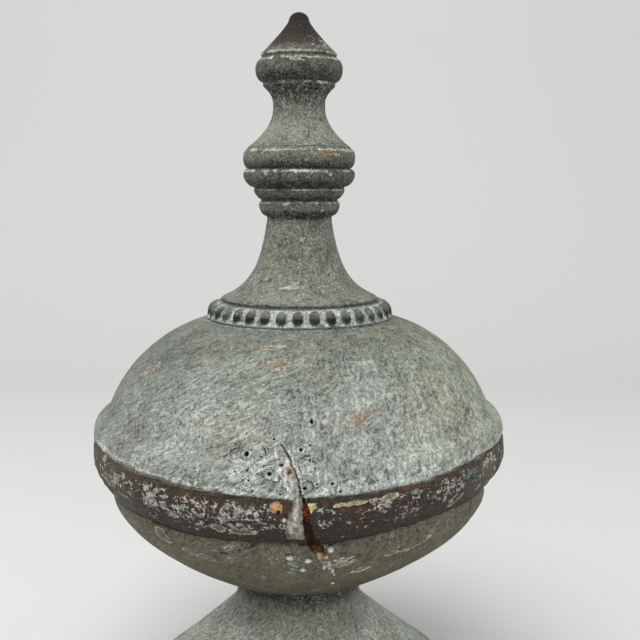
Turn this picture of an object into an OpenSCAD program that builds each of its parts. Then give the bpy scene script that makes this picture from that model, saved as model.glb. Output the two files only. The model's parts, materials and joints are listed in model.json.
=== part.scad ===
// Roof finial, turned and carved from one block.
// A flaring foot carries a broad flattened ball with a raised band round
// its belly.  A course of carved beads, a trumpet-shaped stem, a stack of
// rings, a waisted neck, a cushion ring and a pointed cap rise above it.
// All sizes are millimetres.  The axis is Z, the underside lies on Z = 0.

/* [Foot] */
// Radius of the round plinth under the foot
plinth_r = 90; // [86:1:100]
// Height of the plinth
plinth_h = 12; // [8:1:20]
// Height of the half-round moulding on the plinth
foot_roll_h = 12; // [8:1:16]
// Radius of the foot where its flare begins
flare_r = 82.5; // [78:0.5:86]
// Height of the flare
flare_h = 44; // [36:1:52]
// Radius of the waist between the foot and the ball
waist_r = 36.2; // [32:0.2:42]
// Height of the plain part of the waist
waist_h = 13.5; // [12:0.5:22]

/* [Ball] */
// Radius over the belly band
band_r = 116; // [110:1:120]
// Radius of the ball itself beside the band
ball_r = 107; // [104:0.5:108]
// Height of the ball's underside, from the waist to the belly
under_h = 52.5; // [44:0.5:54]
// Height of the belly band's face
band_h = 21.6; // [16:0.4:26]
// Height of the sloping rim above the band
brim_h = 18; // [12:1:20]
// Height of the dome above the rim
dome_h = 52; // [46:1:58]

/* [Bead course] */
// Number of carved beads
bead_n = 36; // [30:1:40]
// Width of one bead
bead_w = 5.6; // [4.4:0.2:6]
// Length of one bead
bead_l = 9; // [7:0.2:9.4]
// Height of the quarter-round that carries the beads
course_h = 9.4; // [8:0.2:11]

/* [Stem] */
// Radius of the trumpet's lip
lip_r = 44; // [43:0.5:46]
// Height of the trumpet, from its lip to the ring stack
stem_h = 44; // [36:1:50]
// Radius of the stem at its top
stem_r = 18; // [17:0.2:20]

/* [Rings] */
// Radius of the lowest ring
ring1_r = 22.4; // [21.4:0.1:23.4]
// Radius of the second ring
ring2_r = 25; // [24:0.1:26.4]
// Radius of the two large rings
ring3_r = 31; // [29.6:0.1:33]

/* [Neck and cap] */
// Radius of the neck at its narrowest
neck_r = 14.4; // [12:0.2:16.4]
// Height of the neck
neck_h = 32; // [28:1:38]
// Radius of the cushion ring under the cap
cushion_r = 23.9; // [22.6:0.1:25.6]
// Radius of the pointed cap at its foot
cap_r = 21; // [20.6:0.1:22.4]
// Height of the pointed cap
cap_h = 22; // [18:1:32]

/* [Hidden] */

// Levels, from the ground up
z_roll = plinth_h;
z_flare = z_roll + foot_roll_h + 2;
z_waist = z_flare + flare_h;
z_under = z_waist + waist_h;
z_belly = z_under + under_h;
z_band = z_belly + 6;
z_brim = z_band + band_h;
z_dome = z_brim + brim_h;
z_course = z_dome + dome_h;
z_lip = z_course + course_h;
z_ring1 = z_lip + 2 + stem_h;
z_ring2 = z_ring1 + 9.2;
z_ring3 = z_ring2 + 6.6;
z_ring4 = z_ring3 + 10.7;
z_neck = z_ring4 + 11.7;
z_collar = z_neck + neck_h;
z_cushion = z_collar + 2.6;
z_cap = z_cushion + 13;
z_tip = z_cap + 2.2 + cap_h;

// Colour of the worn zinc-grey paint
paint = [0.53, 0.54, 0.50];

// Bulging roll between two radii, taller than it is deep.
// Points run upward from (r0, z) to (r1, z + h) and stand out to r.
function roll(r0, r1, r, z, h, n = 10) =
    [for (i = [0 : n]) let (a = 180 * i / n, q = (1 - cos(a)) / 2)
        [r0 + (r1 - r0) * q + (r - (r0 + r1) / 2) * sin(a), z + h * q]];

// Concave sweep that starts upright at r0 and ends at r1, rising from z.
function cove_up(r0, r1, z, h, p, n = 9) =
    [for (i = [0 : n]) let (t = i / n) [r0 + (r1 - r0) * pow(t, p), z + h * t]];

// The same sweep turned over: it starts at r1 and ends upright at r0.
function cove_down(r0, r1, z, h, p, n = 9) =
    [for (i = [0 : n]) let (t = 1 - i / n) [r0 + (r1 - r0) * pow(t, p), z + h * (1 - t)]];

// Foot: a straight slope that turns upright in a tight curve.
function foot_r(t, h, r0, r1, c = 6) =
    let (k = sqrt(pow(r1 - r0 + c, 2) - c * c) / h) r0 + sqrt(pow(k * t * h, 2) + c * c) - c;

// Trumpet: the reciprocal curve of a bell mouth, t running 0 (top) to 1 (lip).
function trumpet_r(t, r0, r1, e = 0.3) =
    r0 + (r1 - r0) * (1 / (1 + e - t) - 1 / (1 + e)) / (1 / e - 1 / (1 + e));

// Flattened ball: radius at a distance d from its widest level.
// Exponent n sets how soon it turns in, m how full its shoulder is.
function ball(d, r, b, n, m) = r * pow(max(0, 1 - pow(d / b, n)), 1 / m);

// Half-height b at which such a ball has narrowed to radius q at distance h.
function ball_b(h, r, q, n, m) = h / pow(1 - pow(q / r, m), 1 / n);

under_top = under_h + 2;
under_b = ball_b(under_top, ball_r - 1.4, waist_r, 1.46, 1.33);
dome_c = z_dome + 1.5;
dome_top = z_course - dome_c;
dome_b = ball_b(dome_top, ball_r, 49, 1.32, 3.35);

foot_profile = concat(
    [[0, 0], [plinth_r - 1.2, 0], [plinth_r, 1.2], [plinth_r, z_roll - 1], [plinth_r - 1, z_roll]],
    roll(flare_r + 2.5, flare_r + 2, plinth_r - 1.5, z_roll, foot_roll_h),
    [[flare_r + 0.6, z_flare - 2]],
    [for (i = [0 : 14]) let (t = 1 - pow(i / 14, 0.9)) [foot_r(t, flare_h, waist_r, flare_r), z_flare + flare_h * (1 - t)]]
);

under_profile =
    [for (i = [0 : 16]) let (d = under_top * cos(90 * i / 16)) [ball(d, ball_r - 1.4, under_b, 1.46, 1.33), z_belly + 2 - d]];

band_profile = concat(
    [[ball_r - 1.3, z_belly + 4.2], [ball_r - 2.4, z_band - 0.8]],
    [for (i = [0 : 8]) let (t = 1 - i / 8) [band_r - 9.2 * pow(t, 1.7), z_band + band_h * 0.66 * (1 - t)]],
    [for (i = [1 : 5]) let (t = i / 5) [band_r - 1.3 * pow(t, 2), z_band + band_h * (0.66 + 0.34 * t)]]
);

brim_profile = concat(
    [[band_r - 1.9, z_brim + 0.8]],
    [for (i = [0 : 8]) let (a = 90 * i / 8) [ball_r + 1 + (band_r - ball_r - 1.5) * cos(a), z_brim + 2 + (brim_h - 3.2) * sin(a)]]
);

dome_profile =
    [for (i = [0 : 22]) let (d = dome_top * sin(90 * i / 22)) [ball(d, ball_r, dome_b, 1.32, 3.35), dome_c + d]];

course_profile = concat(
    [[52.4, z_course], [52.4, z_course + 0.8], [51.4, z_course + 1.4]],
    [for (i = [0 : 3]) let (a = 14 + 76 * i / 3) [42.6 + 7.8 * cos(a), z_course + (course_h - 0.1) * sin(a)]]
);

stem_profile = concat(
    [[lip_r - 1.4, z_lip], [lip_r - 0.3, z_lip + 0.5], [lip_r, z_lip + 1.2]],
    [for (i = [0 : 20]) let (t = 1 - pow(i / 20, 1.15)) [trumpet_r(t, stem_r, lip_r - 0.8), z_lip + 2 + stem_h * (1 - t)]]
);

ring_profile = concat(
    roll(stem_r + 0.4, ring1_r - 1.5, ring1_r, z_ring1 + 0.4, 8.8, 10),
    roll(ring1_r - 1.4, ring2_r - 0.5, ring2_r - 0.4, z_ring2 + 0.2, 6.6, 8),
    roll(ring2_r - 0.4, ring3_r - 2.9, ring3_r - 0.4, z_ring3 + 0.4, 10.2, 10),
    roll(ring3_r - 2.9, ring3_r - 2.7, ring3_r, z_ring4, 10.8, 10),
    [[ring3_r - 2.6, z_neck - 0.9], [ring3_r - 2.6, z_neck]]
);

neck_profile = concat(
    cove_down(neck_r, ring3_r - 3, z_neck, neck_h * 0.64, 1.9),
    cove_up(neck_r, 19.4, z_neck + neck_h * 0.7, neck_h * 0.3, 2.4, 7),
    [[20, z_collar + 0.8], [20, z_collar + 1.8]]
);

cushion_profile = roll(19.6, 19.8, cushion_r, z_cushion, 13, 12);

cap_profile = concat(
    [[cap_r - 0.7, z_cap + 0.5], [cap_r - 0.1, z_cap + 1.2], [cap_r, z_cap + 2]],
    [for (i = [1 : 12]) let (t = 1 - i / 12) [5.8 + (cap_r - 6.2) * pow(t, 1.15), z_cap + 2.2 + (cap_h - 5) * (1 - t)]],
    [for (i = [1 : 6]) let (a = 15 * i) [5.7 * cos(a), z_tip - 5 * (1 - sin(a))]]
);

module turned_body() {
    rotate_extrude($fn = 120)
        polygon(concat(foot_profile, under_profile, band_profile, brim_profile, dome_profile,
            course_profile, stem_profile, ring_profile, neck_profile, cushion_profile, cap_profile));
}

// One bead: a round-ended peg lying on the slope of the quarter-round.
module bead() {
    run = bead_l - bead_w;
    translate([45.3, 0, z_course + course_h * 0.66])
        rotate([0, 142, 0]) {
            cylinder(h = run, r = bead_w / 2, $fn = 24);
            sphere(r = bead_w / 2, $fn = 24);
            translate([0, 0, run]) sphere(r = bead_w / 2, $fn = 24);
        }
}

module finial() {
    color(paint) {
        turned_body();
        for (k = [0 : bead_n - 1]) rotate([0, 0, 360 * k / bead_n - 90]) bead();
    }
}

finial();
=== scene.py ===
import json
import math

import bpy
import numpy as np
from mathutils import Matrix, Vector

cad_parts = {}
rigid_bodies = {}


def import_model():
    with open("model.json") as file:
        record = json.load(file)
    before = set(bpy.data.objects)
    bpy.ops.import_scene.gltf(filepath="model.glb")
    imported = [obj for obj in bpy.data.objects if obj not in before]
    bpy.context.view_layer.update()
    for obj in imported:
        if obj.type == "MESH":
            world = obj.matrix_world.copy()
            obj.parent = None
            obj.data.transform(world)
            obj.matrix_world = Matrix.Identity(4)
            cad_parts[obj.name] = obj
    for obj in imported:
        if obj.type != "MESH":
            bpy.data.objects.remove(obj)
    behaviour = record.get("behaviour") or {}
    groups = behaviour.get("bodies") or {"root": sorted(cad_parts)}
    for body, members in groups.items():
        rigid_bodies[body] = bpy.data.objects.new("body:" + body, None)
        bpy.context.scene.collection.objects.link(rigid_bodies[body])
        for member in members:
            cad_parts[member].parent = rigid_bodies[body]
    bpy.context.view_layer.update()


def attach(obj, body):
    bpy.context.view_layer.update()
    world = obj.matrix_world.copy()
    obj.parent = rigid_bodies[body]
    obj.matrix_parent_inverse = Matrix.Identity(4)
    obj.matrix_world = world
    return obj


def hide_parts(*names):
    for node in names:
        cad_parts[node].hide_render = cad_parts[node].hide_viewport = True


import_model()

# ---------------------------------------------------------------------------
# Turned outline: the same named sizes and functions as the CAD part, in mm,
# with more points on each curve.
# ---------------------------------------------------------------------------
plinth_r, plinth_h, foot_roll_h = 90.0, 12.0, 12.0
flare_r, flare_h, waist_r, waist_h = 82.5, 44.0, 36.2, 13.5
band_r, ball_r, under_h, band_h, brim_h, dome_h = 116.0, 107.0, 52.5, 21.6, 18.0, 52.0
bead_n, bead_w, bead_l, course_h = 36, 5.6, 9.0, 9.4
lip_r, stem_h, stem_r = 44.0, 44.0, 18.0
ring1_r, ring2_r, ring3_r = 22.4, 25.0, 31.0
neck_r, neck_h, cushion_r, cap_r, cap_h = 14.4, 32.0, 23.9, 21.0, 22.0

z_roll = plinth_h
z_flare = z_roll + foot_roll_h + 2
z_waist = z_flare + flare_h
z_under = z_waist + waist_h
z_belly = z_under + under_h
z_band = z_belly + 6
z_brim = z_band + band_h
z_dome = z_brim + brim_h
z_course = z_dome + dome_h
z_lip = z_course + course_h
z_ring1 = z_lip + 2 + stem_h
z_ring2 = z_ring1 + 9.2
z_ring3 = z_ring2 + 6.6
z_ring4 = z_ring3 + 10.7
z_neck = z_ring4 + 11.7
z_collar = z_neck + neck_h
z_cushion = z_collar + 2.6
z_cap = z_cushion + 13
z_tip = z_cap + 2.2 + cap_h


def sind(a):
    return math.sin(math.radians(a))


def cosd(a):
    return math.cos(math.radians(a))


def roll(r0, r1, r, z, h, n=40):
    out = []
    for i in range(n + 1):
        a = 180 * i / n
        q = (1 - cosd(a)) / 2
        out.append((r0 + (r1 - r0) * q + (r - (r0 + r1) / 2) * sind(a), z + h * q))
    return out


def cove_up(r0, r1, z, h, p, n=30):
    return [(r0 + (r1 - r0) * (i / n) ** p, z + h * i / n) for i in range(n + 1)]


def cove_down(r0, r1, z, h, p, n=30):
    return [(r0 + (r1 - r0) * (1 - i / n) ** p, z + h * i / n) for i in range(n + 1)]


def foot_r(t, h, r0, r1, c=6):
    k = math.sqrt((r1 - r0 + c) ** 2 - c * c) / h
    return r0 + math.sqrt((k * t * h) ** 2 + c * c) - c


def trumpet_r(t, r0, r1, e=0.3):
    return r0 + (r1 - r0) * (1 / (1 + e - t) - 1 / (1 + e)) / (1 / e - 1 / (1 + e))


def ball(d, r, b, n, m):
    return r * max(0.0, 1 - (d / b) ** n) ** (1 / m)


def ball_b(h, r, q, n, m):
    return h / (1 - (q / r) ** m) ** (1 / n)


under_top = under_h + 2
under_b = ball_b(under_top, ball_r - 1.4, waist_r, 1.46, 1.33)
dome_c = z_dome + 1.5
dome_top = z_course - dome_c
dome_b = ball_b(dome_top, ball_r, 49, 1.32, 3.35)

raw = [(plinth_r - 1.2, 0), (plinth_r, 1.2), (plinth_r, z_roll - 1), (plinth_r - 1, z_roll)]
raw += roll(flare_r + 2.5, flare_r + 2, plinth_r - 1.5, z_roll, foot_roll_h)
raw += [(flare_r + 0.6, z_flare - 2)]
for i in range(61):
    t = 1 - (i / 60) ** 0.9
    raw.append((foot_r(t, flare_h, waist_r, flare_r), z_flare + flare_h * (1 - t)))
for i in range(81):
    d = under_top * cosd(90 * i / 80)
    raw.append((ball(d, ball_r - 1.4, under_b, 1.46, 1.33), z_belly + 2 - d))
raw += [(ball_r - 1.3, z_belly + 4.2), (ball_r - 2.4, z_band - 0.8)]
for i in range(33):
    t = 1 - i / 32
    raw.append((band_r - 9.2 * t ** 1.7, z_band + band_h * 0.66 * (1 - t)))
for i in range(1, 11):
    t = i / 10
    raw.append((band_r - 1.3 * t * t, z_band + band_h * (0.66 + 0.34 * t)))
raw += [(band_r - 1.9, z_brim + 0.8)]
for i in range(41):
    a = 90 * i / 40
    raw.append((ball_r + 1 + (band_r - ball_r - 1.5) * cosd(a), z_brim + 2 + (brim_h - 3.2) * sind(a)))
for i in range(101):
    d = dome_top * sind(90 * i / 100)
    raw.append((ball(d, ball_r, dome_b, 1.32, 3.35), dome_c + d))
raw += [(52.4, z_course), (52.4, z_course + 0.8), (51.4, z_course + 1.4)]
for i in range(16):
    a = 14 + 76 * i / 15
    raw.append((42.6 + 7.8 * cosd(a), z_course + (course_h - 0.1) * sind(a)))
raw += [(lip_r - 1.4, z_lip), (lip_r - 0.3, z_lip + 0.5), (lip_r, z_lip + 1.2)]
for i in range(81):
    t = 1 - (i / 80) ** 1.15
    raw.append((trumpet_r(t, stem_r, lip_r - 0.8), z_lip + 2 + stem_h * (1 - t)))
raw += roll(stem_r + 0.4, ring1_r - 1.5, ring1_r, z_ring1 + 0.4, 8.8)
raw += roll(ring1_r - 1.4, ring2_r - 0.5, ring2_r - 0.4, z_ring2 + 0.2, 6.6)
raw += roll(ring2_r - 0.4, ring3_r - 2.9, ring3_r - 0.4, z_ring3 + 0.4, 10.2)
raw += roll(ring3_r - 2.9, ring3_r - 2.7, ring3_r, z_ring4, 10.8)
raw += [(ring3_r - 2.6, z_neck - 0.9), (ring3_r - 2.6, z_neck)]
raw += cove_down(neck_r, ring3_r - 3, z_neck, neck_h * 0.64, 1.9)
raw += cove_up(neck_r, 19.4, z_neck + neck_h * 0.7, neck_h * 0.3, 2.4)
raw += [(20, z_collar + 0.8), (20, z_collar + 1.8)]
raw += roll(19.6, 19.8, cushion_r, z_cushion, 13)
raw += [(cap_r - 0.7, z_cap + 0.5), (cap_r - 0.1, z_cap + 1.2), (cap_r, z_cap + 2)]
for i in range(1, 41):
    t = 1 - i / 40
    raw.append((5.8 + (cap_r - 6.2) * t ** 1.15, z_cap + 2.2 + (cap_h - 5) * (1 - t)))
for i in range(1, 31):
    a = 3 * i
    raw.append((5.7 * cosd(a), z_tip - 5 * (1 - sind(a))))

raw = np.array(raw, float)
STEP = 0.1
seg = np.hypot(*np.diff(raw, axis=0).T)
keep = np.concatenate([[True], seg > 1e-6])
raw = raw[keep]
arc = np.concatenate([[0], np.cumsum(np.hypot(*np.diff(raw, axis=0).T))])
ns = int(arc[-1] / STEP) + 1
S = np.linspace(0, arc[-1], ns)
PR, PZ = np.interp(S, arc, raw[:, 0]), np.interp(S, arc, raw[:, 1])


def smooth(a, sigma, tip=None):
    n = int(4 * sigma / STEP)
    k = np.exp(-0.5 * (np.arange(-n, n + 1) * STEP / sigma) ** 2)
    k /= k.sum()
    left = 2 * a[0] - a[n:0:-1]
    right = (2 * a[-1] - a[-2:-n - 2:-1]) if tip is None else tip * a[-2:-n - 2:-1]
    return np.convolve(np.concatenate([left, a, right]), k, "valid")


rough_r, rough_z = smooth(PR, 2.4, -1), smooth(PZ, 2.4, 1)
soft_r, soft_z = smooth(PR, 1.5, -1), smooth(PZ, 1.5, 1)
at_brim = np.exp(-((PZ - z_dome) / 4.5) ** 4)
PR, PZ = smooth(PR, 0.42, -1), smooth(PZ, 0.42, 1)
PR, PZ = PR + (soft_r - PR) * at_brim, PZ + (soft_z - PZ) * at_brim
PR[-1] = 0
PZ = np.clip(PZ, 0, z_tip - 0.02)
tr, tz = np.gradient(smooth(PR, 0.5, -1)), np.gradient(smooth(PZ, 0.5, 1))
tl = np.hypot(tr, tz) + 1e-12
NR, NZ = tz / tl, -tr / tl
NR[-1], NZ[-1] = 0.0, 1.0
# how far a point stands out of (+) or lies back in (-) its surroundings
CONV = smooth((PR - rough_r) * NR + (PZ - rough_z) * NZ, 0.5)
zmono = np.maximum.accumulate(PZ + np.arange(ns) * 1e-7)


def s_of(z):
    return np.interp(z, zmono, S)


# ---------------------------------------------------------------------------
# Seeded value noise
# ---------------------------------------------------------------------------
def hash3(x, y, z, seed):
    n = (x * 374761393 + y * 668265263 + z * 1440662683 + seed * 1274126177) & 0xFFFFFFFF
    n = ((n ^ (n >> 13)) * 1274126177) & 0xFFFFFFFF
    n = ((n ^ (n >> 15)) * 2246822519) & 0xFFFFFFFF
    return ((n ^ (n >> 16)) & 0xFFFF) / 65535.0


def vnoise(p, seed):
    i = np.floor(p).astype(np.int64)
    f = p - i
    f = f * f * f * (f * (f * 6 - 15) + 10)
    out = 0.0
    for dx in (0, 1):
        wx = f[:, 0] if dx else 1 - f[:, 0]
        for dy in (0, 1):
            wy = f[:, 1] if dy else 1 - f[:, 1]
            for dz in (0, 1):
                wz = f[:, 2] if dz else 1 - f[:, 2]
                out = out + wx * wy * wz * hash3(i[:, 0] + dx, i[:, 1] + dy, i[:, 2] + dz, seed)
    return out * 2 - 1


def fbm(p, seed, octaves=3):
    out, amp, tot = 0.0, 1.0, 0.0
    for o in range(octaves):
        out = out + amp * vnoise(p * 2.03 ** o + 17.3 * o, seed + o)
        tot += amp
        amp *= 0.5
    return out / tot


def sstep(a, b, x):
    t = np.clip((x - a) / (b - a), 0, 1)
    return t * t * (3 - 2 * t)


# ---------------------------------------------------------------------------
# Worn places.  Azimuth in degrees from the front (-Y) towards +X, height in mm.
# ---------------------------------------------------------------------------
CREAM, PINK, WHITE = (222, 213, 196), (170, 156, 139), (205, 210, 202)
YELLOW, OLIVE, TAN = (206, 190, 142), (150, 148, 112), (178, 160, 126)
OCHRE, RUSTY, TEAL = (176, 118, 72), (140, 88, 48), (118, 142, 140)
BONE, GREY, SMUDGE = (196, 196, 178), (128, 128, 120), (122, 108, 86)
# az, z, half width, half height along the slope, tilt, fill, rim, strength
PATCHES = [
    (-58.6, 212.9, 7.4, 2.5, 34, PINK, CREAM, 1.0),
    (-11.2, 227.1, 7.2, 2.0, 3, TAN, CREAM, 0.9),
    (-6.4, 220.8, 6.0, 3.3, -4, PINK, CREAM, 1.0),
    (24.8, 220.6, 6.4, 1.5, 2, WHITE, CREAM, 1.0),
    (19.6, 222.2, 3.4, 2.2, 0, OLIVE, YELLOW, 0.55),
    (67.0, 223.6, 6.0, 2.6, -22, GREY, WHITE, 0.7),
    (73.0, 219.0, 5.0, 3.0, -48, GREY, WHITE, 0.7),
    (-23.5, 196.2, 2.3, 1.9, 20, CREAM, CREAM, 1.15),
    (-26.6, 195.0, 3.4, 2.2, 8, GREY, BONE, 0.7),
    (18.2, 197.4, 6.9, 2.9, 27, PINK, CREAM, 1.05),
    (53.0, 193.4, 4.6, 2.6, -38, YELLOW, CREAM, 1.0),
    (59.0, 192.0, 3.6, 4.4, -20, GREY, BONE, 0.8),
    (57.0, 197.5, 2.6, 2.2, 0, GREY, BONE, 0.7),
    (-14.1, 188.1, 4.0, 2.2, 25, OLIVE, TAN, 0.6),
    (51.3, 231.6, 9.0, 2.2, 0, SMUDGE, SMUDGE, 0.55),
    (-8.1, 252.6, 5.2, 2.4, 6, CREAM, CREAM, 0.95),
    (4.9, 277.3, 3.0, 2.4, 20, OCHRE, CREAM, 0.75),
    (30.6, 323.4, 3.6, 1.2, -2, OCHRE, YELLOW, 1.0),
    (42.0, 322.6, 2.2, 1.0, -8, CREAM, YELLOW, 0.95),
    (-37.3, 323.7, 2.4, 1.9, 30, OCHRE, CREAM, 0.6),
    (34.0, 312.0, 2.2, 1.7, 0, SMUDGE, CREAM, 0.7),
    (-34.0, 312.5, 2.8, 2.0, 20, GREY, CREAM, 0.7),
    (36.0, 293.0, 2.2, 1.8, 10, GREY, CREAM, 0.7),
    (-2.0, 371.5, 3.4, 1.4, 4, TAN, CREAM, 0.8),
    (-38.8, 135.2, 6.4, 2.8, -30, GREY, BONE, 1.0),
    (-30.2, 129.2, 3.8, 2.1, -20, GREY, BONE, 1.15),
    (-25.4, 127.4, 4.6, 2.2, -16, GREY, BONE, 1.15),
    (35.6, 132.8, 8.6, 2.4, 19, SMUDGE, BONE, 1.0),
    (27.6, 129.8, 4.2, 1.8, 14, GREY, BONE, 0.9),
    (12.8, 127.2, 4.8, 2.0, 12, PINK, CREAM, 0.95),
    (13.4, 130.6, 3.6, 1.5, 8, PINK, CREAM, 0.85),
    (20.0, 121.2, 7.0, 2.8, 22, GREY, CREAM, 0.85),
    (-18.4, 148.4, 4.0, 3.0, -8, GREY, BONE, 1.0),
    (-12.4, 147.2, 6.2, 2.4, -4, SMUDGE, BONE, 1.05),
    (45.5, 151.6, 6.4, 2.2, 46, SMUDGE, BONE, 0.85),
    (48.9, 165.4, 4.6, 1.5, 12, TEAL, TEAL, 1.25),
    (29.7, 163.9, 2.2, 1.3, 6, (146, 166, 170), TEAL, 1.25),
    (-59.1, 168.0, 1.9, 1.4, 20, CREAM, CREAM, 1.2),
    (13.0, 162.2, 12.0, 1.0, 3, (198, 186, 146), CREAM, 1.0),
    (23.0, 163.4, 5.0, 1.3, 8, PINK, CREAM, 0.95),
    # the sides and back, in keeping
    (104.0, 207.0, 6.0, 2.6, 24, PINK, CREAM, 0.95),
    (128.0, 222.0, 6.6, 2.2, -6, CREAM, CREAM, 0.9),
    (151.0, 193.0, 5.4, 3.0, -24, PINK, CREAM, 0.95),
    (-94.0, 224.0, 5.4, 2.0, 10, TAN, CREAM, 0.85),
    (-112.0, 197.0, 6.4, 2.6, -30, PINK, CREAM, 0.95),
    (-141.0, 214.0, 5.0, 2.8, 18, CREAM, CREAM, 0.95),
    (-168.0, 187.0, 6.0, 2.4, 30, GREY, BONE, 0.9),
    (176.0, 226.0, 5.4, 2.0, 0, TAN, CREAM, 0.8),
    (96.0, 136.0, 6.4, 2.2, -18, GREY, BONE, 0.9),
    (139.0, 128.0, 6.0, 2.4, 22, SMUDGE, BONE, 0.9),
    (-84.0, 126.0, 5.4, 2.2, 14, GREY, BONE, 0.9),
    (-124.0, 137.0, 6.4, 2.2, -20, GREY, BONE, 0.9),
    (178.0, 134.0, 5.4, 2.2, 10, GREY, BONE, 0.85),
    (118.0, 150.0, 4.6, 2.0, 4, SMUDGE, BONE, 0.85),
    (-104.0, 152.0, 4.8, 2.0, -6, SMUDGE, TAN, 0.85),
    (-152.0, 165.0, 4.4, 1.5, -6, TEAL, TEAL, 1.1),
    (161.0, 166.0, 3.4, 1.3, 4, CREAM, CREAM, 1.1),
    (22.0, 62.0, 6.0, 3.2, -40, WHITE, CREAM, 0.8),
    (-31.0, 55.0, 6.5, 3.0, 24, GREY, BONE, 0.8),
    (64.0, 44.0, 7.0, 3.4, 10, GREY, BONE, 0.8),
    (-78.0, 40.0, 6.6, 3.0, -16, PINK, CREAM, 0.8),
    (120.0, 52.0, 6.4, 3.2, 30, GREY, BONE, 0.8),
    (-142.0, 48.0, 6.8, 3.2, -8, PINK, CREAM, 0.8),
    (165.0, 36.0, 6.8, 3.2, 12, TAN, CREAM, 0.8),
    (150.0, 254.0, 4.6, 2.2, -10, CREAM, CREAM, 0.85),
    (-120.0, 270.0, 3.0, 2.6, 20, OCHRE, CREAM, 0.7),
    (-100.0, 322.0, 3.0, 1.4, 0, OCHRE, YELLOW, 0.8),
    (140.0, 310.0, 2.8, 1.6, 0, GREY, CREAM, 0.7),
]
# az, z, radius, depth, pale ring radius, ring strength
HOLES = [
    (-12.0, 183.5, 0.95, 3.0, 2.2, 0.9),
    (-13.1, 179.9, 0.55, 1.8, 1.3, 0.8),
    (-11.0, 177.6, 0.60, 1.8, 1.3, 0.8),
    (-10.5, 173.3, 0.55, 1.8, 1.3, 0.8),
    (-9.6, 168.6, 0.45, 1.5, 1.1, 0.5),
    (-10.6, 180.4, 0.40, 1.4, 1.0, 0.7),
    (-8.6, 176.3, 0.42, 1.4, 1.1, 0.8),
    (-5.7, 176.7, 0.90, 3.0, 1.7, 1.0),
    (-5.5, 179.2, 0.48, 1.6, 1.4, 0.8),
    (-5.2, 190.5, 0.60, 1.8, 1.4, 0.9),
    (-3.1, 180.2, 1.10, 3.0, 1.6, 0.6),
    (-3.1, 167.4, 0.62, 2.4, 1.5, 1.0),
    (1.7, 185.9, 0.65, 2.0, 1.9, 1.0),
    (4.0, 187.8, 0.45, 1.5, 1.1, 0.6),
    (2.6, 179.9, 0.55, 1.8, 1.4, 0.9),
    (3.9, 181.6, 0.60, 1.8, 1.4, 0.9),
    (2.5, 170.2, 0.70, 2.2, 1.3, 0.6),
    (5.3, 172.0, 0.42, 1.4, 1.2, 0.9),
    (5.3, 170.3, 0.42, 1.4, 1.2, 0.9),
    (8.9, 171.9, 0.62, 2.0, 1.9, 1.0),
    (10.6, 168.0, 0.60, 1.8, 1.5, 0.7),
    (4.6, 198.0, 0.85, 2.4, 2.0, 0.9),
    (-15.2, 175.5, 0.34, 1.2, 0.9, 0.6),
    (-13.8, 171.4, 0.34, 1.2, 0.9, 0.6),
    (-7.4, 171.8, 0.36, 1.3, 1.0, 0.7),
    (-8.2, 182.6, 0.36, 1.3, 1.0, 0.6),
    (-6.6, 186.2, 0.32, 1.2, 0.9, 0.6),
    (-12.4, 192.4, 0.42, 1.4, 1.1, 0.6),
    # below the band
    (-1.2, 134.2, 1.45, 2.2, 0.0, 0.0),
    (3.6, 132.2, 1.45, 2.2, 0.0, 0.0),
    (2.4, 125.2, 1.35, 2.0, 0.0, 0.0),
    (9.2, 138.6, 1.35, 2.2, 0.0, 0.0),
    (10.9, 131.3, 0.90, 2.0, 0.0, 0.0),
    (13.3, 110.0, 0.80, 1.8, 0.0, 0.0),
]
# worm holes on the back, in keeping
BACK_HOLES = [
    (132.0, 176.0, 0.8, 2.2, 1.7, 0.7), (134.5, 172.0, 0.6, 1.8, 1.3, 0.7), (129.5, 171.0, 0.5, 1.6, 1.2, 0.7),
    (-149.0, 204.0, 0.7, 2.0, 1.6, 0.7), (-146.0, 200.5, 0.5, 1.6, 1.2, 0.6), (-98.0, 178.0, 0.7, 2.0, 1.6, 0.7),
]
ALL_HOLES = HOLES + BACK_HOLES

# the long check in the wood: upper column between two edges, and its tail
AR = np.array([(188.8, -4.1), (188.0, -3.1), (183.9, -1.4), (179.9, -0.3), (176.6, 0.6), (173.4, 1.3), (167.7, 2.0),
               (165.0, 2.5), (161.6, 3.1), (157.8, 3.5), (152.7, 3.9), (147.1, 4.4), (141.2, 6.2), (137.4, 7.6),
               (131.7, 9.1), (124.0, 11.2), (117.5, 12.8)])[::-1]
AL = np.array([(188.8, -4.2), (186.2, -4.5), (177.6, -2.8), (174.5, -1.9), (170.0, -0.9), (166.0, -0.1),
               (162.3, -0.5), (157.9, -1.5), (152.8, -1.8), (146.5, -2.2), (142.4, -2.1)])[::-1]
AN = np.array([(188.8, -4.1), (186.0, -2.55), (179.9, -0.62), (176.6, 0.28), (173.4, 0.98), (167.7, 1.62), (163.0, 2.1),
               (157.0, 1.9), (152.2, 2.2), (142.4, 2.5)])[::-1]
AT = np.array([(142.4, 2.5), (137.2, 4.0), (132.2, 5.9), (125.2, 8.7), (117.5, 12.5)])[::-1]


def near(az, s, rc, a0, z0):
    """Offsets across and up the slope, in mm, from a point on the surface."""
    da = (az - a0 + 180) % 360 - 180
    return np.radians(da) * rc, s - s_of(z0)


# ---------------------------------------------------------------------------
# Grids in (azimuth, arc length): foot, ball (refined where it is worn),
# bead course, and stem to tip
# ---------------------------------------------------------------------------
VA, VS = [], []          # azimuth and arc length of each vertex
FACES, FUV = [], []      # faces and their (azimuth, arc length) corners
s_foot_top, s_ball_top, s_course_top = s_of(z_under - 0.6), s_of(z_course - 0.5), s_of(z_lip + 0.3)


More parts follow.
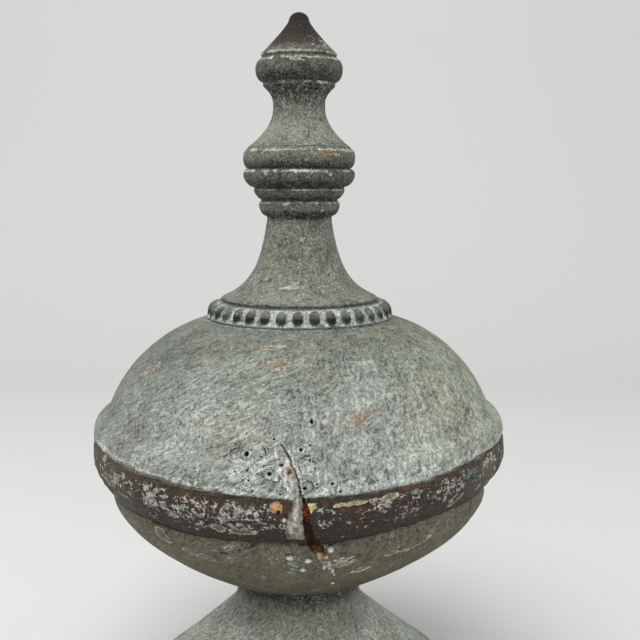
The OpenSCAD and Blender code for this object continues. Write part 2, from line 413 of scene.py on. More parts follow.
def add_ring_grid(cols, s_list):
    first = len(VA)
    rings = []
    for s in s_list:
        rings.append([len(VA) + c for c in range(cols)])
        VA.extend([360.0 * c / cols - 180 for c in range(cols)])
        VS.extend([s] * cols)
    for j in range(len(s_list) - 1):
        a, b = rings[j], rings[j + 1]
        for c in range(cols):
            d = (c + 1) % cols
            FACES.append((a[c], a[d], b[d], b[c]))
            u0, u1 = 360.0 * c / cols - 180, 360.0 * (c + 1) / cols - 180
            FUV.append(((u0, s_list[j]), (u1, s_list[j]), (u1, s_list[j + 1]), (u0, s_list[j + 1])))
    return rings[0], rings[-1]


def stitch(low, high):
    """Joins two rings of vertices with a strip of triangles."""
    a = sorted(low, key=lambda v: VA[v])
    b = sorted(high, key=lambda v: VA[v])
    i = j = 0
    na, nb = len(a), len(b)
    while i < na or j < nb:
        ai, bj = VA[a[i % na]] + 360 * (i // na), VA[b[j % nb]] + 360 * (j // nb)
        an = VA[a[(i + 1) % na]] + 360 * ((i + 1) // na)
        bn = VA[b[(j + 1) % nb]] + 360 * ((j + 1) // nb)
        sa, sb = VS[a[0]], VS[b[0]]
        if j >= nb or (i < na and an <= bn):
            FACES.append((a[i % na], a[(i + 1) % na], b[j % nb]))
            FUV.append(((ai, sa), (an, sa), (bj, sb)))
            i += 1
        else:
            FACES.append((b[j % nb], a[i % na], b[(j + 1) % nb]))
            FUV.append(((bj, sb), (ai, sa), (bn, sb)))
            j += 1


def spaced(s0, s1, step_flat, step_bent):
    """Arc lengths from s0 to s1, closer together where the outline bends."""
    fine = np.arange(s0, s1, STEP)
    bend = np.abs(np.interp(fine, S, np.gradient(np.unwrap(np.arctan2(NZ, NR))) / STEP))
    bend = np.convolve(np.pad(bend, 8, mode="edge"), np.ones(17) / 17, "valid")
    want = step_flat + (step_bent - step_flat) * np.clip(bend / 0.22, 0, 1)
    count = np.concatenate([[0], np.cumsum(STEP / want)])
    n = max(2, int(round(count[-1])))
    return np.interp(np.linspace(0, count[-1], n + 1), count, np.append(fine, s1))


QUICK_SCALE = 1.0
foot_lo, foot_hi = add_ring_grid(120, list(spaced(0, s_foot_top - 0.6, 2.2, 0.8)))

# the ball: a quadtree of cells, each side a power of two of the finest unit
UNIT = 16
NU = 200
NV = int(round((s_ball_top - s_foot_top) / 3.1))
cell_s = (s_ball_top - s_foot_top) / NV / UNIT
cell_a = 360.0 / NU / UNIT


def wanted_level(az, s, half):
    """How often a base cell is halved at a place; half is half the cell's diagonal in mm."""
    rc = np.interp(s, S, PR)
    z = np.interp(s, S, PZ)
    lev = np.zeros(len(az), int)
    front = (np.abs((az + 180) % 360 - 180) < 68) & (z > 128) & (z < 214)
    lev[front] = 1
    worn = (az > -18) & (az < 12.5) & (z > 160) & (z < 190)
    lev[worn] = 2
    for p in PATCHES:
        dx, dy = near(az, s, rc, p[0], p[1])
        m = (dx / (p[2] * 1.25 + half)) ** 2 + (dy / (p[2] * 0.5 + p[3] * 0.9 + half)) ** 2 < 1
        lev[m] = np.maximum(lev[m], 2)
    for h in ALL_HOLES:
        dx, dy = near(az, s, rc, h[0], h[1])
        d = np.hypot(dx, dy) - half
        lev[d < h[2] + 1.5] = np.maximum(lev[d < h[2] + 1.5], 3)
        lev[d < h[2] + 0.30] = np.maximum(lev[d < h[2] + 0.30], 4)
    mm = np.radians(1) * rc
    for line, zlo, zhi in ((AR, 117.5, 188.8), (AL, 142.4, 188.8), (AN, 142.4, 188.8), (AT, 117.5, 142.4)):
        e = np.abs(az - np.interp(z, line[:, 0], line[:, 1])) * mm
        ok = (z > zlo - 1 - half) & (z < zhi + 1 + half)
        m3, m4 = ok & (e < 1.7 + half), ok & (e < 0.42 + half)
        lev[m3] = np.maximum(lev[m3], 3)
        lev[m4] = np.maximum(lev[m4], 4)
    inside = (z < 188.8) & (z > 117.5) & (az < np.interp(z, AR[:, 0], AR[:, 1])) & (
        az > np.where(z > 142.4, np.interp(z, AL[:, 0], AL[:, 1]), np.interp(z, AT[:, 0], AT[:, 1])))
    lev[inside] = np.maximum(lev[inside], 3)
    for a0, z0, w in ((-3.8, 161.4, 3.4), (4.0, 160.8, 3.0)):
        dx, dy = near(az, s, rc, a0, z0)
        m = np.hypot(dx, dy) < w + half
        lev[m] = np.maximum(lev[m], 4)
    return lev


cu, cv = np.meshgrid(np.arange(NU) * UNIT, np.arange(NV) * UNIT)
cu, cv = cu.ravel(), cv.ravel()
leaves = []
for level in range(5):
    size = UNIT >> level
    az = (cu + size / 2) * cell_a - 180
    s = s_foot_top + (cv + size / 2) * cell_s
    rc = np.interp(s, S, PR)
    half = 0.5 * np.hypot(size * cell_a * np.radians(1) * rc, size * cell_s)
    split = (wanted_level(az, s, half * 0.7) > level) if level < 4 else np.zeros(len(cu), bool)
    leaves += [(int(u), int(v), size) for u, v in zip(cu[~split], cv[~split])]
    h = size // 2
    su, sv = cu[split], cv[split]
    cu = np.concatenate([su, su + h, su, su + h])
    cv = np.concatenate([sv, sv, sv + h, sv + h])
FULL = NU * UNIT
vid = {}


def ball_vertex(u, v):
    key = (u % FULL, v)
    if key not in vid:
        vid[key] = len(VA)
        VA.append(key[0] * cell_a - 180)
        VS.append(s_foot_top + v * cell_s)
    return vid[key]


for u, v, n in leaves:
    for a, b in ((u, v), (u + n, v), (u + n, v + n), (u, v + n)):
        ball_vertex(a, b)
for u, v, n in leaves:
    walk = [(u, v)]
    if n > 1:
        for k in range(1, n):
            if ((u + k) % FULL, v) in vid:
                walk.append((u + k, v))
    walk.append((u + n, v))
    if n > 1:
        for k in range(1, n):
            if ((u + n) % FULL, v + k) in vid:
                walk.append((u + n, v + k))
    walk.append((u + n, v + n))
    if n > 1:
        for k in range(n - 1, 0, -1):
            if ((u + k) % FULL, v + n) in vid:
                walk.append((u + k, v + n))
    walk.append((u, v + n))
    if n > 1:
        for k in range(n - 1, 0, -1):
            if (u % FULL, v + k) in vid:
                walk.append((u, v + k))
    ids = [vid[(a % FULL, b)] for a, b in walk]
    uvs = [(a * cell_a - 180, s_foot_top + b * cell_s) for a, b in walk]
    if len(ids) == 4:
        FACES.append(tuple(ids))
        FUV.append(tuple(uvs))
    else:
        c = len(VA)
        cuv = ((u + n / 2) * cell_a - 180, s_foot_top + (v + n / 2) * cell_s)
        VA.append(cuv[0])
        VS.append(cuv[1])
        for k in range(len(ids)):
            m = (k + 1) % len(ids)
            FACES.append((ids[k], ids[m], c))
            FUV.append((uvs[k], uvs[m], cuv))
ball_lo = [i for k, i in vid.items() if k[1] == 0]
ball_hi = [i for k, i in vid.items() if k[1] == NV * UNIT]
bead_lo, bead_hi = add_ring_grid(bead_n * 14, list(np.linspace(s_ball_top + 0.6, s_course_top, 15)))
stem_lo, stem_hi = add_ring_grid(96, list(spaced(s_course_top + 0.7, S[-1] - 1.2, 1.35, 0.70)))
stitch(foot_hi, ball_lo)
stitch(ball_hi, bead_lo)
stitch(bead_hi, stem_lo)
tip = len(VA)
VA.append(0.0)
VS.append(S[-1])
for c in range(len(stem_hi)):
    d = (c + 1) % len(stem_hi)
    u0, u1 = 360.0 * c / len(stem_hi) - 180, 360.0 * (c + 1) / len(stem_hi) - 180
    FACES.append((stem_hi[c], stem_hi[d], tip))
    FUV.append(((u0, S[-1] - 1.2), (u1, S[-1] - 1.2), ((u0 + u1) / 2, S[-1])))
# flat underside, three rings in to the middle; its arc length runs below zero
prev = foot_lo
for r_in in (60.0, 30.0, 0.0):
    n = len(foot_lo)
    if r_in > 0:
        ring = [len(VA) + c for c in range(n)]
        VA.extend([360.0 * c / n - 180 for c in range(n)])
        VS.extend([r_in - (plinth_r - 1.2)] * n)
    else:
        ring = [len(VA)]
        VA.append(0.0)
        VS.append(-(plinth_r - 1.2))
    s0, s1 = VS[prev[0]], VS[ring[0]]
    for c in range(n):
        d = (c + 1) % n
        u0, u1 = 360.0 * c / n - 180, 360.0 * (c + 1) / n - 180
        if r_in > 0:
            FACES.append((ring[c], ring[d], prev[d], prev[c]))
            FUV.append(((u0, s1), (u1, s1), (u1, s0), (u0, s0)))
        else:
            FACES.append((ring[0], prev[d], prev[c]))
            FUV.append((((u0 + u1) / 2, s1), (u1, s0), (u0, s0)))
    prev = ring

az = np.array(VA)
s = np.array(VS)
under = s < -0.01
sc = np.maximum(s, 0)
zc = np.interp(sc, S, PZ)
# the carver's band is not level: its two edges wander round the ball
top_edge = np.interp(az, [-180, -120, -77, -61, -41, -20, 0, 13, 24, 34, 44, 54, 65, 77, 120, 180],
                     [169, 170, 170.5, 169.6, 167, 165.2, 164, 165.2, 166.6, 168, 170, 171.4, 172, 171.5, 171, 169])
low_edge = np.interp(az, [-180, -120, -77, -43, -26, 0, 10, 22, 36, 50, 77, 120, 180],
                     [142, 142, 141.6, 142, 141.2, 140.6, 141.2, 143.6, 145.8, 146.6, 144.2, 143, 142])
ze = np.where(zc < low_edge, 126 + (zc - 126) * (z_band - 126) / (low_edge - 126),
              np.where(zc < top_edge, z_band + (zc - low_edge) * (z_brim + 0.4 - z_band) / (top_edge - low_edge),
                       z_brim + 0.4 + (zc - top_edge) * (190 - z_brim - 0.4) / (190 - top_edge)))
ze = np.where((zc > 126) & (zc < 190), ze, zc)
se = np.where((zc > 126) & (zc < 190), s_of(ze), sc)
rc = np.interp(se, S, PR)
nr, nz = np.interp(se, S, NR), np.interp(se, S, NZ)
nl = np.hypot(nr, nz)
nr, nz = nr / nl, nz / nl
conv = np.interp(se, S, CONV)
rc = np.where(under, s + (plinth_r - 1.2), rc)
zc = np.where(under, 0.0, zc)
ar = np.radians(az)
P0 = np.stack([rc * np.sin(ar), -rc * np.cos(ar), zc], 1)
N = len(az)
mm = np.radians(1) * rc

# ---------------------------------------------------------------------------
# Relief
# ---------------------------------------------------------------------------
slow = fbm(P0 / 34.0, 11, 2)
mid = fbm(P0 / 9.0, 23, 2)
fine = fbm(P0 / 2.6, 41, 2)
on_ball = sstep(z_under, z_under + 16, zc) * (1 - sstep(z_course - 8, z_course, zc))
on_band = sstep(z_band - 1.5, z_band - 0.2, ze) * (1 - sstep(z_brim - 0.6, z_brim + 0.5, ze))
disp = -0.15 - 0.3 * on_ball + slow * (0.26 + 0.25 * on_ball) + mid * 0.16 + fine * 0.05
lumps = sstep(0.12, 0.55, fbm(P0 / 3.6, 77, 2))
disp += on_band * 0.40 * lumps - on_band * 0.1

# beads
step = 360.0 / bead_n
k = np.round(az / step)
bx = np.radians(az - k * step) * 48.5
s_bead = s_of(z_course + 4.6)
by = s - s_bead
bead_no = (k.astype(int) % bead_n)
rnd = hash3(bead_no.astype(np.int64), np.full(N, 3), np.full(N, 5), 9)
q = (bx / (3.05 - 0.25 * rnd)) ** 2 + np.abs(by / (4.3 + 0.3 * rnd)) ** 2.2
bead = np.sqrt(np.clip(1 - q, 0, 1))
disp += 2.3 * bead
in_bead = sstep(1.12, 0.8, q)

# worn places: field 1 at the middle, 0.5 at the edge
best = np.zeros(N)
fill_rgb, rim_rgb = np.zeros((N, 3)), np.zeros((N, 3))
outline = np.zeros(N)
wob = fbm(P0 / 3.4, 301, 3)
wob2 = fbm(P0 / 1.5 + 40, 302, 2)
for a0, z0, w, h, tilt, fill, rim, power in PATCHES:
    dx, dy = near(az, s, rc, a0, z0)
    c, d = cosd(tilt), sind(tilt)
    u, v = dx * c + dy * d, -dx * d + dy * c
    e = np.sqrt((u / w) ** 2 + (v / h) ** 2)
    close = np.where(e < 2.4)[0]
    streak = np.zeros(N)
    lined = fill in (GREY, SMUDGE)
    streak[close] = fbm(np.stack([u[close] / 3.4 + a0, v[close] / 0.95 + z0, 0 * close], 1), 311, 2)
    f = power * np.clip(1.0 - 0.5 * e - (0.20 if lined else 0.30) * wob * np.clip(e, 0.3, 1.4)
                        - (0.05 if lined else 0.34) * streak * np.clip(e, 0.2, 1.2), 0, 1)
    f = np.where(e < 2.2, f, 0)
    m = f > best
    best[m] = f[m]
    fill_rgb[m], rim_rgb[m] = fill, rim
    outline[m] = 1.0 if lined else 0.0
has = best > 0.3
edge = sstep(0.38, 0.5, best) * (1 - sstep(0.5, 0.64, best))
disp += np.where(has & ~under, 0.16 * edge - 0.22 * sstep(0.52, 0.66, best), 0)

# holes
hole, ring, dark_ring = np.zeros(N), np.zeros(N), np.zeros(N)
for a0, z0, r0, depth, rr, power in ALL_HOLES:
    dx, dy = near(az, s, rc, a0, z0)
    d = np.hypot(dx * (1 + 0.16 * math.sin(a0 * 7)), dy * (1 + 0.16 * math.cos(z0 * 3)))
    d = d * (1 + 0.12 * wob2)
    g = 1 - sstep(r0 * 0.72, r0 * 1.22, d)
    hole = np.maximum(hole, g)
    disp -= g * depth
    if rr > 0:
        rr = rr * 0.90
        t = np.exp(-((d - rr * 0.84) / (rr * 0.26)) ** 2) * power
        ring = np.maximum(ring, t)
        disp += 0.16 * t
        out = np.exp(-((d - rr * 1.22) / (rr * 0.20)) ** 2) * power
        disp -= 0.12 * out
        dark_ring = np.maximum(dark_ring, out)
    else:
        # pale putty standing in the lower part of the hole
        t = np.exp(-(np.hypot(dx, (dy + r0 * 1.25) * 1.15) / (r0 * 1.28)) ** 4)
        ring = np.maximum(ring, 1.25 * t)
        hole = np.where(t > 0.35, 0, hole)
        disp += t * (g * depth + 0.32)

# blister outlines and hairlines round the worm holes, each a short chain of points
LINES = [
    [(-17.7, 182.0), (-16.0, 184.3), (-13.5, 185.3), (-10.9, 185.3), (-9.4, 183.4)],
    [(-17.7, 182.0), (-15.6, 180.6), (-14.8, 178.0), (-13.4, 176.2)],
    [(-8.9, 179.9), (-7.2, 179.9), (-5.5, 181.2), (-3.8, 181.6)],
    [(-7.0, 179.6), (-7.6, 176.0), (-6.4, 173.2), (-4.4, 172.4)],
    [(1.2, 181.2), (2.2, 183.4), (4.2, 183.4), (5.2, 180.8), (4.4, 177.8), (2.6, 176.2), (1.2, 178.0), (1.2, 181.2)],
    [(1.9, 168.6), (2.0, 172.6), (3.2, 174.0), (4.4, 172.8), (4.3, 169.6), (3.0, 167.6)],
    [(-19.6, 132.4), (-14.6, 135.4), (-10.6, 138.6), (-7.6, 140.9)],
    [(-9.4, 190.0), (-7.6, 186.4), (-6.6, 183.6)],
    [(-12.8, 170.2), (-10.6, 167.4), (-8.2, 166.2)],
]
line = np.full(N, 9.0)
sway_a, sway_b = 1.5 * fbm(P0 / 2.7 + 11, 401, 2), 1.5 * fbm(P0 / 2.7 + 31, 403, 2)
for chain in LINES:
    for (a0, z0), (a1, z1) in zip(chain[:-1], chain[1:]):
        ax, ay = near(az, s, rc, a0, z0)
        ax, ay = ax + sway_a, ay + sway_b
        bx2, by2 = np.radians(a1 - a0) * rc, s_of(z1) - s_of(z0)
        t = np.clip((ax * bx2 + ay * by2) / (bx2 ** 2 + by2 ** 2), 0, 1)
        line = np.minimum(line, np.hypot(ax - t * bx2, ay - t * by2))
line = line + 0.22 * wob2
hair = np.exp(-(line / np.where(zc < 142, 0.62, 0.42)) ** 2) * (line < 2)
disp -= 0.22 * hair
disp += 0.10 * np.exp(-((line - 0.95) / 0.5) ** 2) * (line < 3)

# the check: lavender-grey inclusion, dark crevice on its right, tail below
jag = 0.42 * fbm(P0 / 3.2, 501, 3) + 0.14 * fbm(P0 / 1.1, 505, 2)
azj = az + jag
a_r, a_l, a_n, a_t = (np.interp(zc, x[:, 0], x[:, 1]) for x in (AR, AL, AN, AT))
front = np.abs(az) < 40
zone_up = front & (zc > 142.4) & (zc < 188.8)
zone_dn = front & (zc <= 142.9) & (zc > 117.5)
e_l, e_n, e_r, e_t = (azj - a_l) * mm, (a_n - azj) * mm, (a_r - azj) * mm, (azj - a_t) * mm
e_l = e_l + 0.9 * sstep(166, 160, zc) * fbm(P0 / 2.2 + 9, 507, 3)
w_incl = np.where(zone_up, sstep(-0.05, 0.55, e_l) * sstep(-0.1, 0.35, e_n), 0) * sstep(142.2, 142.9, zc)
w_crev = np.where(zone_up, sstep(-0.1, 0.3, -e_n) * sstep(-0.1, 0.32, e_r), 0)
w_tail = np.where(zone_dn, sstep(-0.1, 0.4, e_t) * sstep(-0.1, 0.4, e_r), 0)
w_crev = np.maximum(w_crev, w_tail)
t_in = np.clip(e_l / np.maximum(e_l + e_n, 0.3), 0, 1)
d_incl = np.interp(zc, [142.4, 147, 156, 163, 166, 172, 180, 186, 188.8], [3.0, 3.0, 3.0, 2.4, 1.5, 1.3, 1.0, 0.6, 0.1])
d_crev = np.interp(zc, [117.5, 124, 130, 136, 142, 150, 160, 166, 175, 183, 188.8],
                   [0.3, 0.9, 1.8, 3.2, 4.6, 5.6, 5.8, 3.4, 2.6, 1.9, 0.4])
ridge = np.sin(np.pi * np.clip(t_in, 0, 1)) ** 0.8
gnarl = fbm(np.stack([azj * 1.6, zc / 5.0, rc * 0], 1), 601, 3)
crk = w_incl * (d_incl * (1 - 0.42 * ridge) + 0.5 * gnarl) + w_crev * (1 - w_incl) * (d_crev + 0.5 * gnarl)
disp = np.where(front, disp * (1 - 0.8 * np.clip(w_incl + w_crev, 0, 1)) - crk, disp)
lip = np.exp(-((e_l + 0.9) / 0.7) ** 2) * zone_up + np.exp(-((-e_r - 0.8) / 0.6) ** 2) * zone_up * (zc > 160)
disp += 0.28 * lip

# two chips of bare wood beside the check
dx, dy = near(az, s, rc, -3.8, 161.6)
q1 = ((np.abs(dx + 0.1 * dy) / 2.5) ** 3 + (np.abs(dy) / 2.7) ** 3) ** (1 / 3) + 0.30 * wob2 + 0.16 * wob
dx2, dy2 = near(az, s, rc, 4.05, 160.9)
q2 = np.maximum(np.abs(dx2 - 0.12 * dy2) / (1.25 + 0.42 * dy2.clip(-2.6, 2.2)), np.abs(dy2) / 2.5) + 0.18 * wob2
chip1, chip2 = 1 - sstep(0.88, 1.06, q1), 1 - sstep(0.85, 1.05, q2)
chip2 = np.where(dy2 < -2.4, 0, chip2)
disp = disp - 0.8 * chip1 * (1 - w_incl) - 0.9 * chip2 * (1 - w_crev)
dx3, dy3 = near(az, s, rc, -3.5, 158.9)
pit = np.exp(-(np.hypot(dx3, dy3 * 0.8) / 0.75) ** 4)
disp -= 2.0 * pit

# white lumps at the end of the tail
for a0, z0, w in ((7.6, 132.9, 1.0), (8.4, 126.2, 1.4), (9.6, 127.2, 1.0), (10.8, 122.4, 0.9), (7.2, 135.4, 0.9)):
    dx, dy = near(az, s, rc, a0, z0)
    disp += 1.5 * np.exp(-(np.hypot(dx, dy) / w) ** 2)

# the ball's underside hangs a little full, more so on the right; the waist is worn slim
hang = sstep(84, 90, zc) * (1 - sstep(135, 141, zc))
disp += hang * (0.7 + 0.7 * np.clip(np.sin(ar), 0, 1) * sstep(104, 122, zc))
disp -= 2.1 * sstep(70, 79, zc) * (zc < z_under + 0.2)
disp[under] = 0
disp *= sstep(0.0, 2.0, sc)
r = rc + disp * nr
z = zc + disp * nz
# turned by hand: a slight lean and a belly not quite round
z = np.clip(z, 0.0, z_tip - 0.03)
z[under | (s < 0.01)] = 0
r[tip] = 0
vx, vy = r * np.sin(ar), -r * np.cos(ar)
vx = vx - 0.5 * sstep(92, 120, zc) * (1 - sstep(205, 236, zc)) - (1.2 - 0.6 * sstep(80, 92, zc)) * sstep(15, 60, zc) * (1 - sstep(112, 142, zc))
far = np.hypot(vx, vy)
hold = np.minimum(1.0, (band_r - 0.03) / np.maximum(far, 1))
V = np.stack([vx * hold, vy * hold, z], 1) / 1000.0

# ---------------------------------------------------------------------------
# Colour and wear, held on the vertices
# ---------------------------------------------------------------------------


def lin(rgb):
    c = np.array(rgb, float) / 255.0
    return np.where(c <= 0.04045, c / 12.92, ((c + 0.055) / 1.055) ** 2.4)


def along(stops, x):
    """Colour along the height, from (z, colour) stops in rising order."""
    zs = [p[0] for p in stops]
    cs = np.array([lin(p[1]) for p in stops])
    return np.stack([np.interp(x, zs, cs[:, i]) for i in range(3)], 1)


# tone by height; the dark stops under the ball (66 to about 120 mm, darkest at the waist) and under the collar and
# cushion (357.5 to 362 mm) are painted shade
PAINT = [
    (0, (138, 142, 134)), (26, (166, 169, 157)), (58, (191, 193, 179)), (66, (156, 156, 142)), (75, (98, 94, 78)),
    (83.5, (56, 49, 36)), (88, (66, 59, 43)), (104, (85, 79, 61)), (122, (99, 94, 76)), (138, (106, 103, 87)),
    (141.2, (104, 101, 88)), (142.2, (38, 27, 19)), (150, (44, 33, 24)), (158, (50, 38, 28)), (162.4, (62, 44, 28)), (163.6, (54, 40, 28)),
    (164.4, (104, 96, 76)), (166.4, (128, 127, 110)), (168.4, (150, 155, 147)), (178, (157, 160, 151)), (196, (154, 157, 148)),
    (214, (142, 146, 136)), (228, (128, 131, 120)), (233, (124, 127, 116)), (234.2, (162, 168, 160)),
    (242, (140, 144, 133)), (243.4, (90, 88, 76)), (246, (126, 128, 117)), (258, (126, 128, 117)),
    (270, (118, 119, 109)), (287.5, (116, 117, 107)), (289.5, (94, 94, 83)), (298, (86, 86, 76)), (304.5, (76, 75, 66)),
    (306, (74, 73, 63)), (315, (78, 77, 67)), (316.5, (88, 87, 76)), (326, (112, 112, 100)), (334, (141, 142, 132)),
    (344, (124, 126, 114)), (350, (100, 100, 88)), (357.5, (58, 55, 46)), (359.6, (92, 91, 80)), (362, (58, 54, 44)), (369, (80, 77, 64)),
    (374.4, (92, 90, 77)), (378, (98, 95, 83)), (382, (54, 45, 37)), (387, (33, 26, 22)), (399, (27, 21, 17)),
]
tone = along(PAINT, ze + 0.6 * wob * (1 - on_band))
tone *= (1 + 0.15 * slow + 0.10 * mid)[:, None]
tone[:, 2] *= 1 - 0.10 * sstep(25, 50, az) * (1 - sstep(120, 160, az)) * sstep(164, 170, ze) * (1 - sstep(228, 240, zc))
# painted shade: the left side of the dome is darker
tone *= (1 - 0.28 * sstep(168, 180, ze) * (1 - sstep(222, 232, zc)) * sstep(-30, -52, az) * sstep(-110, -80, az))[:, None]
# the right end of the band is greyer
grey_end = (on_band * sstep(36, 62, np.abs(az)) * (0.55 + 0.6 * mid))[:, None].clip(0, 0.75)
tone = tone * (1 - grey_end) + lin((94, 86, 71)) * grey_end

up = np.clip(nz, 0, 1)
down = np.clip(-nz, 0, 1)
above = sstep(z_lip - 1, z_lip + 1, zc)
ragged = fbm(P0 / 7.0, 131, 3)
# pale wash and painted highlight: brim crest, ring tops and upward-facing surfaces (painted highlight), ridges (worn
# paint and painted highlight), round the worm holes, between beads
mid_az = np.exp(-(az / 26) ** 4)
crest = np.exp(-((ze - 168.4 + 1.6 * mid_az - 1.1 * ragged) / (1.5 + 1.2 * mid_az)) ** 2) * sstep(163.6, 164.3, ze)
wash_and_highlight = (0.94 + 0.35 * slow) * crest
crest_r = sstep(3, 14, az) * (1 - sstep(66, 84, az))
wash_and_highlight = np.maximum(wash_and_highlight, (0.95 + 0.3 * ragged) * crest_r * np.exp(-((ze - 166.4) / 2.3) ** 2) * sstep(163.8, 164.5, ze))
w_cr = (0.75 * crest_r * sstep(163.9, 164.7, ze) * (1 - sstep(168, 170, ze)))[:, None]
tone = tone * (1 - w_cr) + lin((152, 157, 149)) * w_cr
lowdome = sstep(165.0, 167.0, ze) * (1 - sstep(168, 192, ze)) * (0.22 + 0.20 * np.exp(-(az / 45) ** 2) + 0.40 * sstep(2, 12, az) * (1 - sstep(48, 66, az)) * (1 - sstep(166, 178, ze)))
wash_and_highlight = np.maximum(wash_and_highlight, lowdome + 0.25 * ragged * (lowdome > 0.02))


def blob(a0, z0, wa, wz):
    dx, dy = near(az, s, rc, a0, z0)
    return 1 - sstep(0.55, 1.25, np.hypot(dx / wa, dy / wz) + 0.42 * ragged)


near_hole = np.maximum.reduce([blob(-8.5, 175.5, 19, 13), 0.8 * blob(5.0, 173.0, 16, 14), 0.7 * blob(-13.5, 182.5, 9, 5),
                               0.55 * blob(-4.5, 188, 9, 6), 0.5 * blob(12, 170, 14, 8), 0.35 * blob(-24, 172, 22, 9)])
near_hole = near_hole * sstep(163.6, 164.6, ze)
wash_and_highlight = np.maximum(wash_and_highlight, (0.68 + 0.40 * mid) * near_hole)
# painted highlight: upward-facing surfaces above the lip are paler
wash_and_highlight = np.maximum(wash_and_highlight, above * up * 0.30 * (zc < 378))
# ridges standing out are paler: partly worn paint, partly painted highlight
wash_and_highlight = np.maximum(wash_and_highlight, np.clip(conv * 0.5, 0, 0.45) * above * (zc < 381))
course = sstep(z_course - 1.6, z_course - 0.2, zc) * (1 - sstep(z_lip - 1.0, z_lip - 0.2, zc))
wash_and_highlight = np.maximum(wash_and_highlight, course * (0.74 + 0.22 * ragged) * (1 - 0.85 * in_bead))
rim_line = np.exp(-((s - s_of(z_course + 0.4) + 1.0) / 1.5) ** 2)
wash_and_highlight = np.maximum(wash_and_highlight, 0.88 * rim_line)
wash_and_highlight = np.maximum(wash_and_highlight, (0.72 + 0.5 * ragged) * np.exp(-((s - s_of(z_cap + 1.4)) / 1.3) ** 2))
wash_and_highlight = np.maximum(wash_and_highlight, (0.62 + 0.5 * ragged) * np.exp(-((s - s_of(z_collar + 1.4)) / 1.2) ** 2))
wash_and_highlight = np.maximum(wash_and_highlight, 0.80 * np.clip(lip, 0, 1) * sstep(162, 165, zc))
wash_and_highlight = np.maximum(wash_and_highlight, 0.34 * sstep(20, 50, zc) * (1 - sstep(62, 74, zc)))
on_under = sstep(88, 94, zc) * (1 - sstep(137, 141, zc))
wash_and_highlight = np.maximum(wash_and_highlight, (0.33 + 0.20 * mid) * on_under)
# dirt and painted shade: creases, undersides, the space under the ball and the lower parts of the rings are painted
# shade; the hairlines and the dark rings round the holes are dirt
# painted shade in creases, from how far each point lies back in its surroundings
dirt_and_shade = np.clip(-conv * 1.4, 0, 1) * 0.9 * (1 - np.exp(-((ze - z_dome) / 7) ** 4))
# painted shade: downward-facing surfaces above the lip are darker
dirt_and_shade = np.maximum(dirt_and_shade, above * down * 0.35)
dirt_and_shade = np.maximum(dirt_and_shade, (0.36 + 0.20 * ragged) * on_under)
# painted reflection: warm reflected light on the lower half of the ball, stronger at the sides
tone = tone * (1 - (sstep(76, 84, zc) * (1 - sstep(137, 141, zc)) * (0.4 + 0.6 * sstep(12, 40, np.abs(az))))[:, None] * np.array([0.0, 0.06, 0.15]))
# rings and cushion: painted highlight along each upper part, painted shade on each lower part; the shade also darkens
# the tone
shade = np.zeros(N)
for za, zb, top_highlight, low_shade in ((z_ring1, z_ring2, 0.50, 0.85), (z_ring2, z_ring3, 0.45, 0.85), (z_ring3, z_ring4, 0.50, 0.80),
                           (z_ring4, z_neck - 0.6, 0.42, 0.62), (z_cushion, z_cap, 0.30, 0.70)):
    tt = (zc - za) / (zb - za)
    wash_and_highlight = np.maximum(wash_and_highlight, (top_highlight + 0.3 * ragged) * sstep(0.60, 0.82, tt) * (1 - sstep(0.93, 1.0, tt)) * (tt < 1))
    wash_and_highlight = np.maximum(wash_and_highlight, (0.74 + 0.3 * ragged) * np.exp(-((tt - 0.86) / 0.07) ** 2))
    ring_low_shade = low_shade * sstep(0.66, 0.12, tt) * (tt > 0) * (tt < 1)
    dirt_and_shade = np.maximum(dirt_and_shade, ring_low_shade + 0.25 * ragged * (ring_low_shade > 0.05))
    shade = np.maximum(shade, ring_low_shade)
# painted shade under the cushion, on the upper neck and the collar
dirt_and_shade = np.maximum(dirt_and_shade, (0.80 + 0.2 * ragged) * sstep(347, 360, zc) * (zc < z_collar + 0.4))
shade = np.maximum(shade, sstep(346, 358, zc) * (zc < z_collar + 0.4))
tone = tone * (1 - 0.52 * shade)[:, None]
tone = tone * (1 - 0.38 * sstep(348, 357, zc) * (zc < z_collar + 0.4))[:, None]
tone = tone * (1 - above * (zc < 380) * 0.10)[:, None] ** np.array([0.0, 0.35, 1.0])
dirt_and_shade = np.maximum(dirt_and_shade, 0.95 * np.exp(-((ze - (z_band - 0.9)) / 0.75) ** 2))
dirt_and_shade = np.maximum(dirt_and_shade, 0.55 * np.exp(-((ze - (z_brim + 0.35)) / 0.45) ** 2))
dirt_and_shade = np.maximum(dirt_and_shade, 0.85 * np.exp(-((s - s_of(z_lip - 0.2)) / 0.8) ** 2))
# painted shade under the ball: the top of the waist and the ball's underside are darker
dirt_and_shade = np.maximum(dirt_and_shade, 0.70 * sstep(66, 81, zc) * (zc < z_under + 0.5))
dirt_and_shade = np.maximum(dirt_and_shade, 0.60 * sstep(99, 84, zc) * (zc > z_under))
dirt_and_shade = np.maximum(dirt_and_shade, 0.95 * np.exp(-((zc - z_under) / 0.9) ** 2))
dirt_and_shade = np.maximum(dirt_and_shade, 0.75 * np.exp(-((s - s_of(z_neck - 0.2)) / 0.55) ** 2))
dirt_and_shade = np.maximum(dirt_and_shade, 1.0 * hair)
dirt_and_shade = np.maximum(dirt_and_shade, (0.70 + 0.5 * wob) * dark_ring)
dirt_and_shade = np.where(course > 0.2, np.minimum(dirt_and_shade, 0.20 + 0.6 * np.exp(-((s - s_of(z_lip - 0.2)) / 0.8) ** 2)), dirt_and_shade)
# beads: dark paint, made darker below and greyer on top as painted shade
bead_dark_and_shade = in_bead * course * (0.50 + 0.50 * sstep(1.4, -1.2, by) + 0.24 * (rnd - 0.5))
